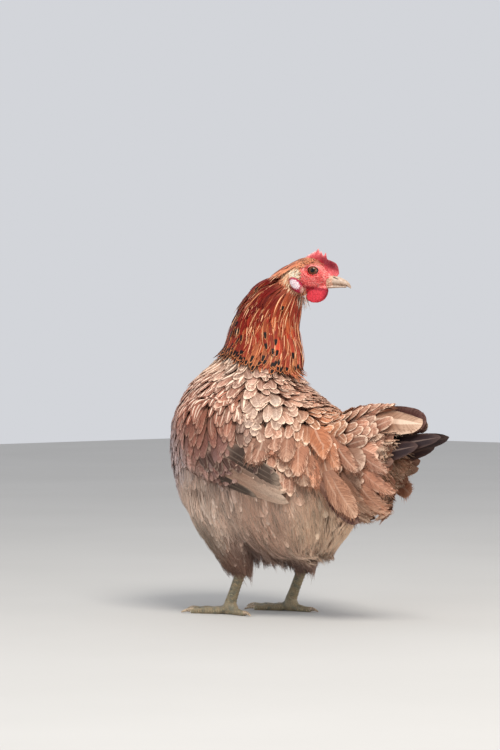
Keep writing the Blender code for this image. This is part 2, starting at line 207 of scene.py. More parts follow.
def closed_grid(rings):
    """The faces of a tube over rows of rings (rows, sides, 3), closed by a point at each end."""
    rows, sides = rings.shape[:2]
    at = np.arange(rows * sides).reshape(rows, sides)
    after = np.roll(at, -1, axis=1)
    quads = np.stack((at[:-1], at[1:], after[1:], after[:-1]), -1).reshape(-1, 4)
    first, last = rows * sides, rows * sides + 1
    ends = np.vstack((
        np.stack((at[0], after[0], np.full(sides, first)), -1),
        np.stack((after[-1], at[-1], np.full(sides, last)), -1),
    ))
    points = np.vstack((rings.reshape(-1, 3), rings[0].mean(0), rings[-1].mean(0)))
    return points, quads, ends


def face_outwards(obj):
    """Turns every face of a closed mesh the right way out."""
    bm = bmesh.new()
    bm.from_mesh(obj.data)
    bmesh.ops.recalc_face_normals(bm, faces=bm.faces)
    bm.to_mesh(obj.data)
    bm.free()


def paint(obj, name, values):
    """Stores a colour for each vertex under a name, for the material to read."""
    store = obj.data.color_attributes.new(name, "FLOAT_COLOR", "POINT")
    store.data.foreach_set("color", np.asarray(values, np.float32).ravel())


def add_uv(obj, name, values):
    """A UV map that gives each vertex one place."""
    layer = obj.data.uv_layers.new(name=name)
    corner = np.zeros(len(obj.data.loops), np.int32)
    obj.data.loops.foreach_get("vertex_index", corner)
    layer.data.foreach_set("uv", np.asarray(values, np.float32)[corner].ravel())


def positions(obj):
    """The mesh's points in the stance frame."""
    points = np.zeros(len(obj.data.vertices) * 3)
    obj.data.vertices.foreach_get("co", points)
    return points.reshape(-1, 3) - STANCE


def move_points(obj, points):
    obj.data.vertices.foreach_set("co", (points + STANCE).ravel())
    obj.data.update()


def settle(obj):
    """Makes what the modifiers show the object's own mesh."""
    graph = bpy.context.evaluated_depsgraph_get()
    mesh = bpy.data.meshes.new_from_object(obj.evaluated_get(graph))
    obj.modifiers.clear()
    obj.data = mesh


def remesh(obj, cell, softening):
    """Wraps the joined shells in one even skin and softens its creases."""
    wrap = obj.modifiers.new("wrap", "REMESH")
    wrap.mode = "VOXEL"
    wrap.voxel_size = cell
    relax = obj.modifiers.new("relax", "SMOOTH")
    relax.factor = 0.5
    relax.iterations = softening
    settle(obj)


def join_shells(name, shells):
    """One object from several closed tubes of rings."""
    points, quads, ends, count = [], [], [], 0
    for rings in shells:
        p, q, e = closed_grid(rings)
        points.append(p)
        quads.append(q + count)
        ends.append(e + count)
        count += len(p)
    obj = place_mesh(name, np.vstack(points), (np.vstack(quads), np.vstack(ends)))
    face_outwards(obj)
    return obj


def domed(rings, bulge=0.5):
    """The rings with both ends drawn in to a round cap."""
    def cap(last, before):
        middle = last.mean(0)
        size = np.linalg.norm(last - middle, axis=1).mean()
        outward = unit(middle - before.mean(0)) * size * bulge
        angle = np.linspace(0, math.pi / 2, 5)[1:-1]
        return [middle + (last - middle) * math.cos(a) + outward * math.sin(a) for a in angle]
    first = cap(rings[0], rings[1])[::-1]
    last = cap(rings[-1], rings[-2])
    return np.concatenate((np.array(first), rings, np.array(last)))


# ---- legs: thighs, shanks and toes
# The drumstick is a fleshy cone down to the hock. Below it the shank and the four toes are bare,
# sinew and bone in scaled skin, on pads pressed flat by her weight.
FOOT_HALF_SPREAD = 0.036
FOOT_STAGGER = 0.009
HOCK = (0.037, 0.04, 0.074)
TOE_RADIUS = 0.0042
FLOOR_BITE = 0.001
THIGH_SECTIONS = mm(  # x, y and z of the centre, half length fore and aft, half width
    (50, -4, 146, 31, 20),
    (50, 0, 124, 35, 26),
    (48, 6, 98, 32, 25),
    (43, 14, 75, 24, 21),
    (40, 22, 57, 16, 15),
    (38, 27, 46, 10, 10),
)
TOES = {  # degrees out from straight ahead, length of the toe, length of its claw
    "inner": (-32.0, 0.038, 0.012),
    "middle": (0.0, 0.052, 0.013),
    "outer": (30.0, 0.041, 0.012),
    "hind": (172.0, 0.025, 0.011),
}


def thigh(side):
    """The outer form of one drumstick: u runs down it and v once round, from its front (0)."""
    def surface(u, v):
        row = through(THIGH_SECTIONS, u)
        turn = v * 2 * math.pi
        return np.stack((
            side * row[..., 0] + row[..., 4] * np.sin(turn),
            row[..., 1] - side * FOOT_STAGGER - row[..., 3] * np.cos(turn),
            row[..., 2],
        ), -1)
    return surface


def ball_of_foot(side):
    return np.array((side * FOOT_HALF_SPREAD, FOOT_BACK - side * FOOT_STAGGER, 0.0))


def limb(path, radii):
    """A round limb over a path of points: u runs along it and v once round, from its upper or
    forward edge."""
    path, radii = np.asarray(path, float), np.asarray(radii, float)

    def surface(u, v):
        at = through(np.hstack((path, radii[:, None])), u)
        ahead = unit(through(path, u + 1e-3) - through(path, u - 1e-3))
        across = unit(np.cross(ahead, np.array((0.03, 0.6, -0.8)) + ahead * 0))
        upper = np.cross(across, ahead)
        turn = v[..., None] * 2 * math.pi
        return at[..., :3] + (upper * np.cos(turn) + across * np.sin(turn)) * at[..., 3:4]
    return surface


def shank(side):
    hock = np.array((side * HOCK[0], HOCK[1] - side * FOOT_STAGGER, HOCK[2]))
    foot = ball_of_foot(side) + np.array((0, 0, 0.0105))
    steps = np.linspace(0, 1, 7)[:, None]
    path = hock + steps * (foot - hock) + np.array((0, 0, 0.0015)) * np.sin(math.pi * steps)
    radii = 0.005 + 0.0022 * (1 - steps[:, 0]) ** 2 + 0.0012 * steps[:, 0] ** 6
    return limb(path, radii)


def toe_way(side, name):
    angle = math.radians(TOES[name][0])
    return np.array((side * math.sin(angle), -math.cos(angle), 0.0))


def toe(side, name):
    length = TOES[name][1]
    t = np.linspace(0, 1, 7)
    radii = TOE_RADIUS * (1.12 - 0.34 * t)
    height = radii - FLOOR_BITE + 0.0055 * np.clip(1 - t / 0.35, 0, 1) ** 2
    knuckles = 0.00035 * np.cos(t * math.pi * 2 * (2.0 if name == "hind" else 3.0))
    path = ball_of_foot(side) + np.outer(t, toe_way(side, name) * length) + np.outer(height, (0, 0, 1))
    return limb(path, radii + knuckles)


def rings_of(surface, rows, sides, start=0.0):
    """A surface read on a grid, as rows of rings."""
    u, v = np.linspace(start, 1, rows), np.linspace(0, 1, sides, endpoint=False)
    return surface(*np.meshgrid(u, v, indexing="ij"))


# ---- the head's form
# The head is turned right back over her shoulder. In its own frame x runs along the bill from
# between the eyes, y to her left and z up. Comb, wattles and ear lobes are thin folds of red skin.
HEAD_HEIGHT = 0.3585
HEAD_AT = (-0.046, 0.042)
HEAD_TURN = math.radians(143)
HEAD_SECTIONS = mm(  # x, height of the crown, height of the throat, half width
    (-33, 1, -31, 16),
    (-22, 8.6, -28.8, 18),
    (-11, 13, -25.6, 17.2),
    (0, 12.4, -22, 14.8),
    (8, 7.8, -20, 11.6),
    (14.5, 0.8, -18.4, 8.2),
    (19, -3.2, -17, 6.2),
)
COMB_SECTIONS = mm(  # foot's x and z, edge's x and z, half thickness at the foot
    (-11, 10.5, -11.2, 13.6, 1.2),
    (-6, 10, -5.5, 17, 2),
    (-1, 9.5, 0.8, 20.5, 2.4),
    (2, 8.5, 4.6, 23.6, 2.5),
    (4, 7.5, 6, 19.8, 2.5),
    (5.5, 6.5, 7.6, 20.5, 2.5),
    (7, 5, 10, 15.8, 2.5),
    (8.5, 4, 12.2, 19.4, 2.5),
    (10, 2, 13.6, 12.6, 2.5),
    (12.5, -1, 17.5, 10.8, 2.5),
    (15.5, -4, 22.8, 8, 2.4),
    (18.5, -6.5, 25.6, 3, 2.2),
    (21, -8, 26.4, -3, 1.8),
)
EYE_OUT = 0.0086
EYE_RADII = (0.0068, 0.0066, 0.0062)
EYE_OPENING = (0.0058, 0.0043)
head_angle = -math.pi / 2 - HEAD_TURN
HEAD_AXES = np.array((
    (math.cos(head_angle), math.sin(head_angle), 0.0),
    (-math.sin(head_angle), math.cos(head_angle), 0.0),
    (0.0, 0.0, 1.0),
))
HEAD_PLACE = np.array((*HEAD_AT, HEAD_HEIGHT))


def from_head(points):
    """From the head's own frame to the stance frame."""
    return points @ HEAD_AXES + HEAD_PLACE


def to_head(points):
    return (points - HEAD_PLACE) @ HEAD_AXES.T


def head_form(u, v):
    """The head in its own frame: u runs from the nape to the bill and v once round from the
    crown, over her left cheek."""
    row = through(HEAD_SECTIONS, u)
    turn = v * 2 * math.pi
    half = (row[..., 1] - row[..., 2]) / 2
    return np.stack((
        row[..., 0],
        row[..., 3] * np.sin(turn) * (1 + 0.08 * np.cos(turn)),
        (row[..., 1] + row[..., 2]) / 2 + half * np.cos(turn),
    ), -1)


def head(u, v):
    return from_head(head_form(u, v))


def comb_rings():
    """The comb as a loft of thin ovals from behind to the front, each from the comb's foot to its
    edge, with the blade leaning in slow waves towards its points."""
    rows = through(COMB_SECTIONS, np.linspace(0, 1, 61))
    turn = np.linspace(0, 2 * math.pi, 20, endpoint=False)
    foot, edge = rows[:, 0:2], rows[:, 2:4]
    share = (1 - np.cos(turn)) / 2
    place = foot[:, None] + (edge - foot)[:, None] * share[None, :, None]
    thick = rows[:, 4:5] * (np.sin(turn) * (1 - 0.42 * share))
    wave = 0.0013 * np.sin(rows[:, 2:3] * 520 + 0.7) * share[None] ** 1.5
    fold = 0.001 * np.sin(rows[:, 2:3] * 1150) * share[None] ** 2
    return from_head(np.stack((place[..., 0], thick + wave + fold, place[..., 1]), -1))


def leaf_rings(centre, radii, lean, slant):
    """A flattened drop, as ovals stacked from top to bottom that shift forwards by slant for each
    unit of height lost: wattles and ear lobes."""
    rise = np.linspace(0.08, 0.92, 19) * math.pi
    turn = np.linspace(0, 2 * math.pi, 26, endpoint=False)
    size = np.sin(rise)[:, None] ** 0.75
    x = centre[0] + radii[0] * size * np.cos(turn) - slant * radii[2] * np.cos(rise)[:, None]
    y = centre[1] + radii[1] * size**0.7 * np.sin(turn) + lean * np.cos(rise)[:, None]
    z = centre[2] + radii[2] * np.cos(rise)[:, None] + 0 * x
    return from_head(np.stack((x, y, z), -1))


# ---- the skin
# One skin covers her from the comb to the toes. It lies under the plumage by the coat's depth and
# comes to the surface on the red face, the comb, the wattles, the ear lobes and the scaled legs.
NECK_DEPTH = 0.0065
TRUNK_DEPTH = 0.0095
THIGH_DEPTH = 0.0085
TAIL_ROOT = 0.86  # where on the body's form the fleshy root of the tail ends


def body_skin():
    """The body's sections drawn in by the coat's depth, down to the root of the tail."""
    u = np.linspace(0, TAIL_ROOT, 90)
    row = through(BODY_ROWS, u)
    depth = (NECK_DEPTH + (TRUNK_DEPTH - NECK_DEPTH) * smooth(0.25, 0.45, u))[:, None]
    for part in (slice(3, 6), slice(6, 9)):
        size = np.linalg.norm(row[:, part], axis=1, keepdims=True)
        row[:, part] *= np.maximum(size - depth, 0.006) / size
    turn = np.linspace(0, 2 * math.pi, 96, endpoint=False)[None, :, None]
    return domed(oval(row[:, None], turn))


def drawn_in(rings, depth, least=0.0):
    """The rings of a surface, moved in towards their middles by a depth."""
    middle = rings.mean(1, keepdims=True)
    size = np.linalg.norm(rings - middle, axis=2, keepdims=True)
    return middle + (rings - middle) * np.maximum(size - depth, least) / size


def thigh_skin(side):
    return domed(drawn_in(rings_of(thigh(side), 30, 40), THIGH_DEPTH, 0.0045))


def foot_skin(side):
    pad = np.array(((0, 0.006, 0.0056), (0, 0.002, 0.0058), (0, -0.003, 0.0052)))
    ball = limb(ball_of_foot(side) + pad, (0.0062, 0.0072, 0.0066))
    toes = [rings_of(toe(side, name), 30, 20) for name in TOES]
    shin = rings_of(shank(side), 30, 24, start=0.22)
    return [domed(rings) for rings in (shin, rings_of(ball, 8, 24), *toes)]


def head_skin():
    """The skull and its bare parts, joined into one fine even mesh."""
    rings = rings_of(head_form, 70, 84)
    feathered = np.maximum(smooth(-0.006, -0.016, rings[..., :1]), smooth(0.004, 0.009, rings[..., 2:3]))
    parts = [from_head(drawn_in(rings, 0.0003 + 0.0014 * feathered)), comb_rings()]
    for side in (1, -1):
        wattle, lobe = (0.0036, side * 0.0072, -0.0237), (-0.0168, side * 0.0172, -0.0155)
        parts.append(leaf_rings(wattle, (0.0104, 0.0019, 0.0094), side * -0.0012, -0.3))
        parts.append(leaf_rings(lobe, (0.0064, 0.003, 0.0082), side * 0.0012, 0.48))
    obj = join_shells("head_skin", [domed(rings, 0.3) for rings in parts])
    remesh(obj, 0.0005, 2)
    return obj


def ripple(points, scale, seed):
    """Soft irregular waves: a product of sines whose phases are bent by other sines."""
    x, y, z = (points * scale).T
    a = np.sin(x + 1.7 * np.sin(0.9 * y + seed) + 1.3 * np.sin(1.1 * z + 2 * seed))
    b = np.sin(y + 1.5 * np.sin(1.2 * z - seed) + 1.1 * np.sin(0.8 * x + 3 * seed))
    c = np.sin(z + 1.6 * np.sin(1.1 * x + 0.5 * seed) + 1.2 * np.sin(1.3 * y - seed))
    return (a * b + b * c + c * a) / 3


def eye_distance(p):
    """How far a point of the head lies from the eye's middle, with 1 at the edge of the lids."""
    return np.hypot(p[:, 0] / EYE_OPENING[0], p[:, 2] / EYE_OPENING[1])


def shape_face(p):
    """The lids and the folds of the bare face, in the head's frame. Inside the opening the skin
    sinks behind the eyeball, round it a lid lies on the ball, and rings of folds fade outwards."""
    p = p.copy()
    e = eye_distance(p)
    side = np.sign(p[:, 1])
    cheek = np.abs(p[:, 1]) > 0.0065
    near_rim = cheek & (np.abs(e - 1) < 0.12)
    pull = np.where(near_rim, 1 / np.maximum(e, 1e-6), 1.0)
    snap = 1 + (pull - 1) * (1 - np.abs(e - 1) / 0.12).clip(0, 1) * 0.85
    p[:, 0] *= snap
    p[:, 2] *= snap
    reach = (p[:, 0] / EYE_RADII[0]) ** 2 + (p[:, 2] / EYE_RADII[2]) ** 2
    ball = EYE_OUT + EYE_RADII[1] * np.sqrt(np.clip(1 - reach, 0.02, 1))
    lid = ball + 0.0007 * np.exp(-(((e - 1.12) / 0.14) ** 2))
    plain = np.abs(p[:, 1])
    folds = 0.00065 * np.sin((e - 1.1) * 13.0) * np.exp(-(((e - 1.6) / 0.55) ** 2))
    folds = folds * smooth(0.004, -0.003, p[:, 2])
    out = np.where(e < 1.0, ball - 0.0022, lid + (plain + folds - lid) * smooth(1.12, 1.75, e))
    p[:, 1] = np.where(cheek & (e < 2.6), side * out, p[:, 1])
    outward = unit(np.stack((p[:, 0] * 0.3, side * 0.012, p[:, 2] * 0.5), 1))
    bare = (e > 1.15) & (np.abs(p[:, 1]) > 0.004) & (p[:, 0] > -0.0135)
    wrinkle = 0.00045 * ripple(p, 1300, 0.4) + 0.00022 * ripple(p, 3300, 1.9)
    wrinkle = wrinkle * bare * smooth(0.008, 0.002, p[:, 2]) * smooth(1.15, 1.4, e)
    p += outward * wrinkle[:, None]
    return p


def build_skin():
    lower = join_shells("body_skin", [
        body_skin(), thigh_skin(1), thigh_skin(-1), *foot_skin(1), *foot_skin(-1)])
    remesh(lower, 0.0021, 1)
    points = positions(lower)
    points[:, 2] = np.maximum(points[:, 2], 0.0)
    move_points(lower, points)
    upper = head_skin()
    move_points(upper, from_head(shape_face(to_head(positions(upper)))))
    union = upper.modifiers.new("join", "BOOLEAN")
    union.operation = "UNION"
    union.solver = "EXACT"
    union.object = lower
    settle(upper)
    bpy.data.objects.remove(lower, do_unlink=True)
    upper.name = upper.data.name = "skin"
    upper.data.shade_smooth()
    return upper


skin = build_skin()
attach(skin, "root")
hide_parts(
    "trunk", "neck", "tail", "wing_left", "wing_right", "head", "comb",
    "wattle_left", "wattle_right", "ear_lobe_left", "ear_lobe_right", "thigh_left", "thigh_right",
    "shank_left", "shank_right", "foot_left", "foot_right",
)


# ---- plumage: how a feather is made
# A contour feather is a shaft with a thin, slightly arched vane on each side, rooted in the skin
# and lying back over the next one like a tile. Every feather here is a closed sliver of mesh.
VANE = np.array(((-1, 0.0), (-0.5, 0.6), (0, 1.1), (0.5, 0.6), (1, 0.0)))
LEAF = np.array(((-1, 0.0), (0, 1.0), (1, 0.0), (0, -0.4)))
STRAND = np.array(((-1, 0.0), (0, 1.0), (1, 0.0)))


def steps_along(along, around, move):
    """The change of u and v that moves a point over its surface by a vector, from the slopes:
    the least-squares answer to along * du + around * dv = move."""
    e, f, g = dot(along, along), dot(along, around), dot(around, around)
    a, b = dot(along, move), dot(around, move)
    flat = np.maximum(e * g - f * f, 1e-14)
    return (g * a - f * b) / flat, (e * b - f * a) / flat


def spread(surface, gap, keep, rng, rounds=9, u_range=(0.0, 1.0)):
    """Roots set evenly over part of a surface, a gap apart, which is a length or a function of
    the point. Cells of a fine grid are drawn by chance in proportion to their area over the gap
    squared. Then near roots push each other apart, by a share of how much closer they are."""
    cells = 150
    gap_at = gap if callable(gap) else lambda p: gap + 0 * p[..., 0]
    grid = np.linspace(*u_range, cells), np.linspace(0, 1, cells, endpoint=False)
    grid = np.meshgrid(*grid, indexing="ij")
    point, along, around, normal = measure(surface, *grid)
    area = np.linalg.norm(np.cross(along, around), axis=-1) * (u_range[1] - u_range[0]) / cells**2
    weight = (keep(point, normal) * area / (0.87 * gap_at(point) ** 2)).ravel()
    pick = rng.choice(weight.size, int(weight.sum()), p=weight / weight.sum())
    u = grid[0].ravel()[pick] + rng.uniform(-0.5, 0.5, len(pick)) / cells
    v = grid[1].ravel()[pick] + rng.uniform(-0.5, 0.5, len(pick)) / cells
    for _ in range(rounds):
        point, along, around, _ = measure(surface, u, v)
        wanted = gap_at(point)[:, None] * 1.12
        apart = (point[:, None] - point[None]).astype(np.float32)
        far = np.sqrt((apart**2).sum(-1)) + np.eye(len(point)) * 9
        push = np.clip(1 - far / wanted, 0, None) / far
        move = (apart * push[..., None]).sum(1) * wanted * 0.42
        du, dv = steps_along(along, around, move)
        u, v = np.clip(u + du, *u_range), v + dv
    return u, v % 1


def stations(count, crowd=1.5):
    """Places along a feather from its root (0) to its tip (1), closer together near the tip."""
    return 1 - (1 - np.linspace(0, 1, count)) ** crowd


def rounded(full, blunt):
    """A vane's half width along the shaft: it widens to its full width and ends in a round tip,
    sqrt(1 - x^blunt) of the way out."""
    def half_width(t):
        tip = np.clip((t - full) / (1 - full), 0, 1)
        return np.clip(0.12 + t / full, 0, 1) ** 0.7 * np.sqrt(np.clip(1 - tip**blunt, 0.004, 1))
    return half_width


def pointed(full, taper):
    """A vane's half width where it runs out into a point, as 1 - x^taper."""
    def half_width(t):
        tip = np.clip((t - full) / (1 - full), 0, 1)
        return np.clip(0.15 + t / full, 0, 1) ** 0.7 * np.clip(1 - tip**taper, 0.05, 1)
    return half_width


def edges(width, shape, t, fray, rng):
    """Half widths along each feather's left and right edge, (feathers, stations, 2): the shape's,
    less a share that chance makes deep in a few places, where the barbs have parted."""
    torn = rng.random((len(width), len(t), 2)) ** 2.5
    return (width[:, None] * shape(t)[None])[..., None] * (1 - fray * torn * (0.3 + 0.7 * t[None, :, None]))


def cling(surface, u, v, lie, length, width, t, shape, rng, depth=0.008, rise=0.0, lift=0.0006,
          yaw=0.12, bend=0.15, fray=0.3, roll=0.06, slant=0.5, aim=0.0):
    """Feathers that follow a surface. From its root each one steps along the lie of the coat,
    turned by aim and yaw and bent sideways. Its edges, which the barbs carry forwards by slant,
    are read off the surface too. The height over the surface is
    rise - (depth + rise) * (0.8 * (1 - t)^2.6 + 0.2 * (1 - t)), plus lift * t^3 by chance."""
    root = np.stack((u, v), 1)
    n = len(u)
    length, width = np.broadcast_to(length, n), np.broadcast_to(width, n)
    depth, rise, lift = (np.broadcast_to(a, n)[:, None] for a in (depth, rise, lift))
    turn, curve = rng.normal(0, yaw, n) + aim, rng.normal(0, bend, n)
    tilt = rng.normal(0, roll, n)
    profile = edges(width, shape, t, fray, rng)
    loose = np.abs(rng.normal(0, 1, n))[:, None] * lift
    out = {"left": [], "middle": [], "right": [], "up": [], "up_left": [], "up_right": []}
    for k, share in enumerate(t):
        point, along, around, normal = measure(surface, u, v)
        way = lie(point, unit(along), normal)
        way = unit(way - normal * dot(way, normal)[:, None])
        angle = (turn + curve * share)[:, None]
        way = way * np.cos(angle) + np.cross(normal, way) * np.sin(angle)
        side = np.cross(normal, way)
        height = rise - (depth + rise) * (0.8 * (1 - share) ** 2.6 + 0.2 * (1 - share)) + loose * share**3
        for name, sign, edge in (("left", 1, 0), ("right", -1, 1)):
            reach = profile[:, k, edge][:, None]
            du, dv = steps_along(along, around, (side * sign + way * slant * (1 - share**4)) * reach)
            edge_point, _, _, edge_normal = measure(surface, u + du, v + dv)
            wing_up = (tilt[:, None] * sign - 0.06) * reach
            out[name].append(edge_point + edge_normal * (height + wing_up))
            out["up_" + name].append(edge_normal)
        out["middle"].append(point + normal * height)
        out["up"].append(normal)
        if k + 1 < len(t):
            du, dv = steps_along(along, around, way * (length * (t[k + 1] - share))[:, None])
            u, v = u + du, v + dv
    out = {name: np.stack(rows, 1) for name, rows in out.items()}
    out["root"] = root
    return out


def stand(root, point, way, up, length, width, t, shape, rng, sag=0.0, arch=0.0, fray=0.15, cup=0.12,
          splay=0.0, slant=0.5):
    """Stiff feathers that run straight from their roots: a way and an up vector for each, a tip
    that sags by sag * t^2, an arch outwards along up, and edges cupped down by cup."""
    n = len(point)
    length, width = np.broadcast_to(length, n), np.broadcast_to(width, n)
    sag, arch, splay = (np.broadcast_to(a, n)[:, None, None] for a in (sag, arch, splay))
    way = unit(way)
    side = unit(np.cross(up, way))
    up = np.cross(way, side)
    share = t[None, :, None]
    middle = point[:, None] + way[:, None] * length[:, None, None] * share
    middle = middle + np.array((0, 0, -1.0)) * sag * share**2 + up[:, None] * arch * np.sin(share * math.pi)
    middle = middle + side[:, None] * splay * share**2
    wide = edges(width, shape, t, fray, rng)
    ups = np.broadcast_to(up[:, None], middle.shape)
    out = {"middle": middle, "up": ups, "up_left": ups, "up_right": ups, "root": root}
    for name, sign, edge in (("left", 1, 0), ("right", -1, 1)):
        reach = wide[..., edge][..., None]
        forward = way[:, None] * slant * (1 - share**4)
        out[name] = middle + (side[:, None] * sign + forward - up[:, None] * cup) * reach
    return out


def shortened(build, length, limit):
    """Feathers from build(length), built again with those shortened whose tips would hang below
    limit(tip), a height."""
    paths = build(length)
    root, tip = paths["middle"][:, 0, 2], paths["middle"][:, -1]
    low = limit(tip)
    share = np.clip((root - low) / np.maximum(root - tip[:, 2], 1e-3), 0.35, 1)
    return build(length * np.where(tip[:, 2] < low, share, 1))


def fringe(paths, t, rng, count, length, width, first):
    """Loose barbs: fine strands that leave each feather near its edges and its tip, forwards and
    outwards. Returns them with the number of the feather that each one belongs to."""
    which = np.repeat(np.arange(len(paths["root"])), count)
    s = rng.choice((-1, 1), len(which)) * rng.random(len(which)) ** 0.4
    place = rng.uniform(first, 0.99, len(which))
    start = np.clip(np.searchsorted(t, place) - 1, 0, len(t) - 2)
    share = ((place - t[start]) / (t[start + 1] - t[start]))[:, None]
    left, middle, right, up = (
        paths[name][which, start] * (1 - share) + paths[name][which, start + 1] * share
        for name in ("left", "middle", "right", "up"))
    s = s[:, None]
    point = middle + s * (left - right) / 2 + s * s * ((left + right) / 2 - middle)
    ahead = unit(paths["middle"][which, start + 1] - paths["middle"][which, start])
    way = unit(ahead + unit(left - right) * s * 0.7 + rng.normal(0, 0.1, point.shape))
    size = length * rng.uniform(0.5, 1.2, len(which))
    root = point - way * size[:, None] * 0.3
    return stand(paths["root"][which], root, way, up, size, width, stations(4), pointed(0.2, 1.5), rng,
                 sag=0.1 * length, cup=0.0, slant=0.0), which


def together(batches):
    """Several batches of feathers with the same stations as one."""
    return {name: np.concatenate([batch[name] for batch in batches]) for name in batches[0]}


def feather_mesh(name, paths, t, thick, section, ground, material, marks=(0, 0, 0, 0)):
    """One mesh of many feathers. At each station the section's points lie on the parabola from
    edge to edge through the shaft and are raised by their share of the thickness. OFBake gives
    each feather a patch 0.003 across at its root's place on the skin's unwrap, and Vane gives
    the place across and along the feather."""
    n, k = paths["middle"].shape[:2]
    m = len(section)
    s, h = section[:, 0][None, None, :, None], section[:, 1][None, None, :, None]
    left, middle, right = (paths[a][:, :, None] for a in ("left", "middle", "right"))
    point = middle + s * (left - right) / 2 + s * s * ((left + right) / 2 - middle)
    up = paths["up"][:, :, None] * (1 - s * s)
    up = unit(up + np.where(s > 0, paths["up_left"][:, :, None], paths["up_right"][:, :, None]) * s * s)
    taper = (1 - 0.55 * t)[None, :, None, None]
    point = point + up * h * np.broadcast_to(thick, n)[:, None, None, None] * taper
    at = np.arange(n * k * m).reshape(n, k, m)
    after = np.roll(at, -1, axis=2)
    quads = np.stack((at[:, :-1], at[:, 1:], after[:, 1:], after[:, :-1]), -1).reshape(-1, 4)
    caps = np.concatenate((at[:, 0], at[:, -1, ::-1]))
    obj = place_mesh(name, point.reshape(-1, 3), (quads, caps))
    across = np.broadcast_to(section[:, 0], (n, k, m))
    along = np.broadcast_to(t[None, :, None], (n, k, m))
    vane = np.stack((across / 2 + 0.5, along), -1).reshape(-1, 2)
    patch = paths["root"][:, None, None] * 0.99 + 0.005 + 0.003 * (vane.reshape(n, k, m, 2) - 0.5)
    add_uv(obj, "OFBake", patch.reshape(-1, 2))
    add_uv(obj, "Vane", vane)
    marks = np.stack([np.broadcast_to(mark, n) for mark in marks], 1)
    for key, values in (("ground", ground), ("marks", marks)):
        paint(obj, key, np.repeat(values, k * m, axis=0))
    ends = np.zeros(len(obj.data.edges) * 2, np.int32)
    obj.data.edges.foreach_get("vertices", ends)
    rim = np.isin(ends % m, np.flatnonzero(np.abs(section[:, 0]) == 1)).reshape(-1, 2).all(1)
    obj.data.attributes.new("sharp_edge", "BOOLEAN", "EDGE").data.foreach_set("value", rim & (m > 3))
    obj.data.materials.append(material)
    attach(obj, "root")
    return obj


def fringed(names, paths, t, rng, barbs, ground, material, marks, section=VANE):
    """A mesh of feathers and one of the barbs that fringe them, in the same colours. barbs says
    how many each feather has, how long and how wide they are, and where they begin."""
    feather_mesh(names[0], paths, t, 0.0003, section, ground, material, marks)
    strands, which = fringe(paths, t, rng, *barbs)
    feather_mesh(names[1], strands, stations(4), 0.0003, STRAND, ground[which], material)


# Colours of the plumage, and how they run over her: each is the ground colour round a place on
# her left side, with its reach. A few places paint light or shade into it: the shadow before the
# scapulars, the hollow beside the drape and the pale greyish side of the breast. The right side
# mirrors it, and the skin takes the same colours.
GROUNDS = mm(  # x, y and z of the place, its reach, red, green and blue
    (10, -30, 262, 30, 1, 0.74, 0.53),  # the top of the cape, cream
    (60, -40, 220, 32, 0.52, 0.24, 0.17),  # the cape over the shoulder
    (78, -10, 185, 26, 0.37, 0.14, 0.092),  # the bow of the wing, tan
    (80, 20, 205, 22, 0.42, 0.18, 0.118),
    (80, 20, 152, 22, 0.26, 0.135, 0.12),  # the dark lower edge of the shoulder
    (32, 8, 250, 22, 0.4, 0.245, 0.185),
    (30, 55, 246, 20, 0.45, 0.29, 0.23),  # the cape's rear, browner
    (78, 62, 190, 12, 0.08, 0.03, 0.028),  # the shadow before the scapulars
    # The greyish side of the breast is partly the feathers' own grey and partly a painted bluish sky light,
    # and the paler place below it is painted light where this side lies in shade.
    (55, -85, 180, 30, 0.5, 0.42, 0.43),  # the side of the breast, greyish
    (68, -36, 166, 20, 0.68, 0.57, 0.56),
    # Painted shade: the hollow beside the drape is near black, where the drape's edge shades the wing.
    (36, 110, 130, 8, 0.05, 0.02, 0.016),  # the hollow beside the drape
    (0, -95, 200, 35, 0.48, 0.32, 0.26),  # the breast
    (0, 60, 235, 30, 0.64, 0.34, 0.225),  # the ridge of the back, peppered
    (60, 75, 205, 26, 0.76, 0.54, 0.42),  # the side of the back, pale
    (55, 90, 165, 30, 0.45, 0.25, 0.17),  # the saddle's drape, warm buff
    (40, 135, 185, 30, 0.68, 0.3, 0.15),  # the rump
    (20, 190, 190, 35, 0.61, 0.335, 0.23),  # the tail coverts
    (50, 170, 120, 25, 0.68, 0.36, 0.22),  # the lowest lobe of the drape
    (20, 160, 115, 28, 0.56, 0.34, 0.23),  # under the tail
    (60, 0, 112, 30, 0.82, 0.64, 0.52),  # the fluff of the thigh, cream
    (60, -12, 78, 18, 0.27, 0.2, 0.145),  # its lower end
    (50, 80, 95, 30, 0.74, 0.52, 0.4),  # the fluff behind it
    (30, 115, 88, 22, 0.98, 0.74, 0.54),  # its rear, below the vent
    (0, 20, 65, 35, 0.3, 0.2, 0.165),  # the belly
    (40, 15, 50, 16, 0.24, 0.135, 0.095),  # the drumstick's brown end
    plain=3,
)


def plumage(point):
    """The ground colour at a point: the mean of the places' colours, each weighted by
    exp(-(distance / reach)^2)."""
    p = point.copy()
    p[..., 0] = np.abs(p[..., 0])
    total, weights = 0, 1e-9
    for row in GROUNDS:
        weight = np.exp(-((p - row[:3]) ** 2).sum(-1) / row[3] ** 2)[..., None] + 1e-7
        total = total + weight * row[4:]
        weights = weights + weight
    return total / weights


def vary(colour, rng, light=0.12, hue=0.04):
    """The colours with a chance lightness and warmth for each feather, and a seed as alpha."""
    n = len(colour)
    value = np.exp(rng.normal(0, light, (n, 1)))
    warm = rng.normal(0, hue, (n, 1)) * np.array((1.0, -0.4, -1.0))
    colour = colour * value * (1 + warm)
    colour = colour * np.minimum(1, 0.94 / colour.max(1, keepdims=True))
    return np.hstack((np.maximum(colour, 0.004), rng.random((n, 1))))


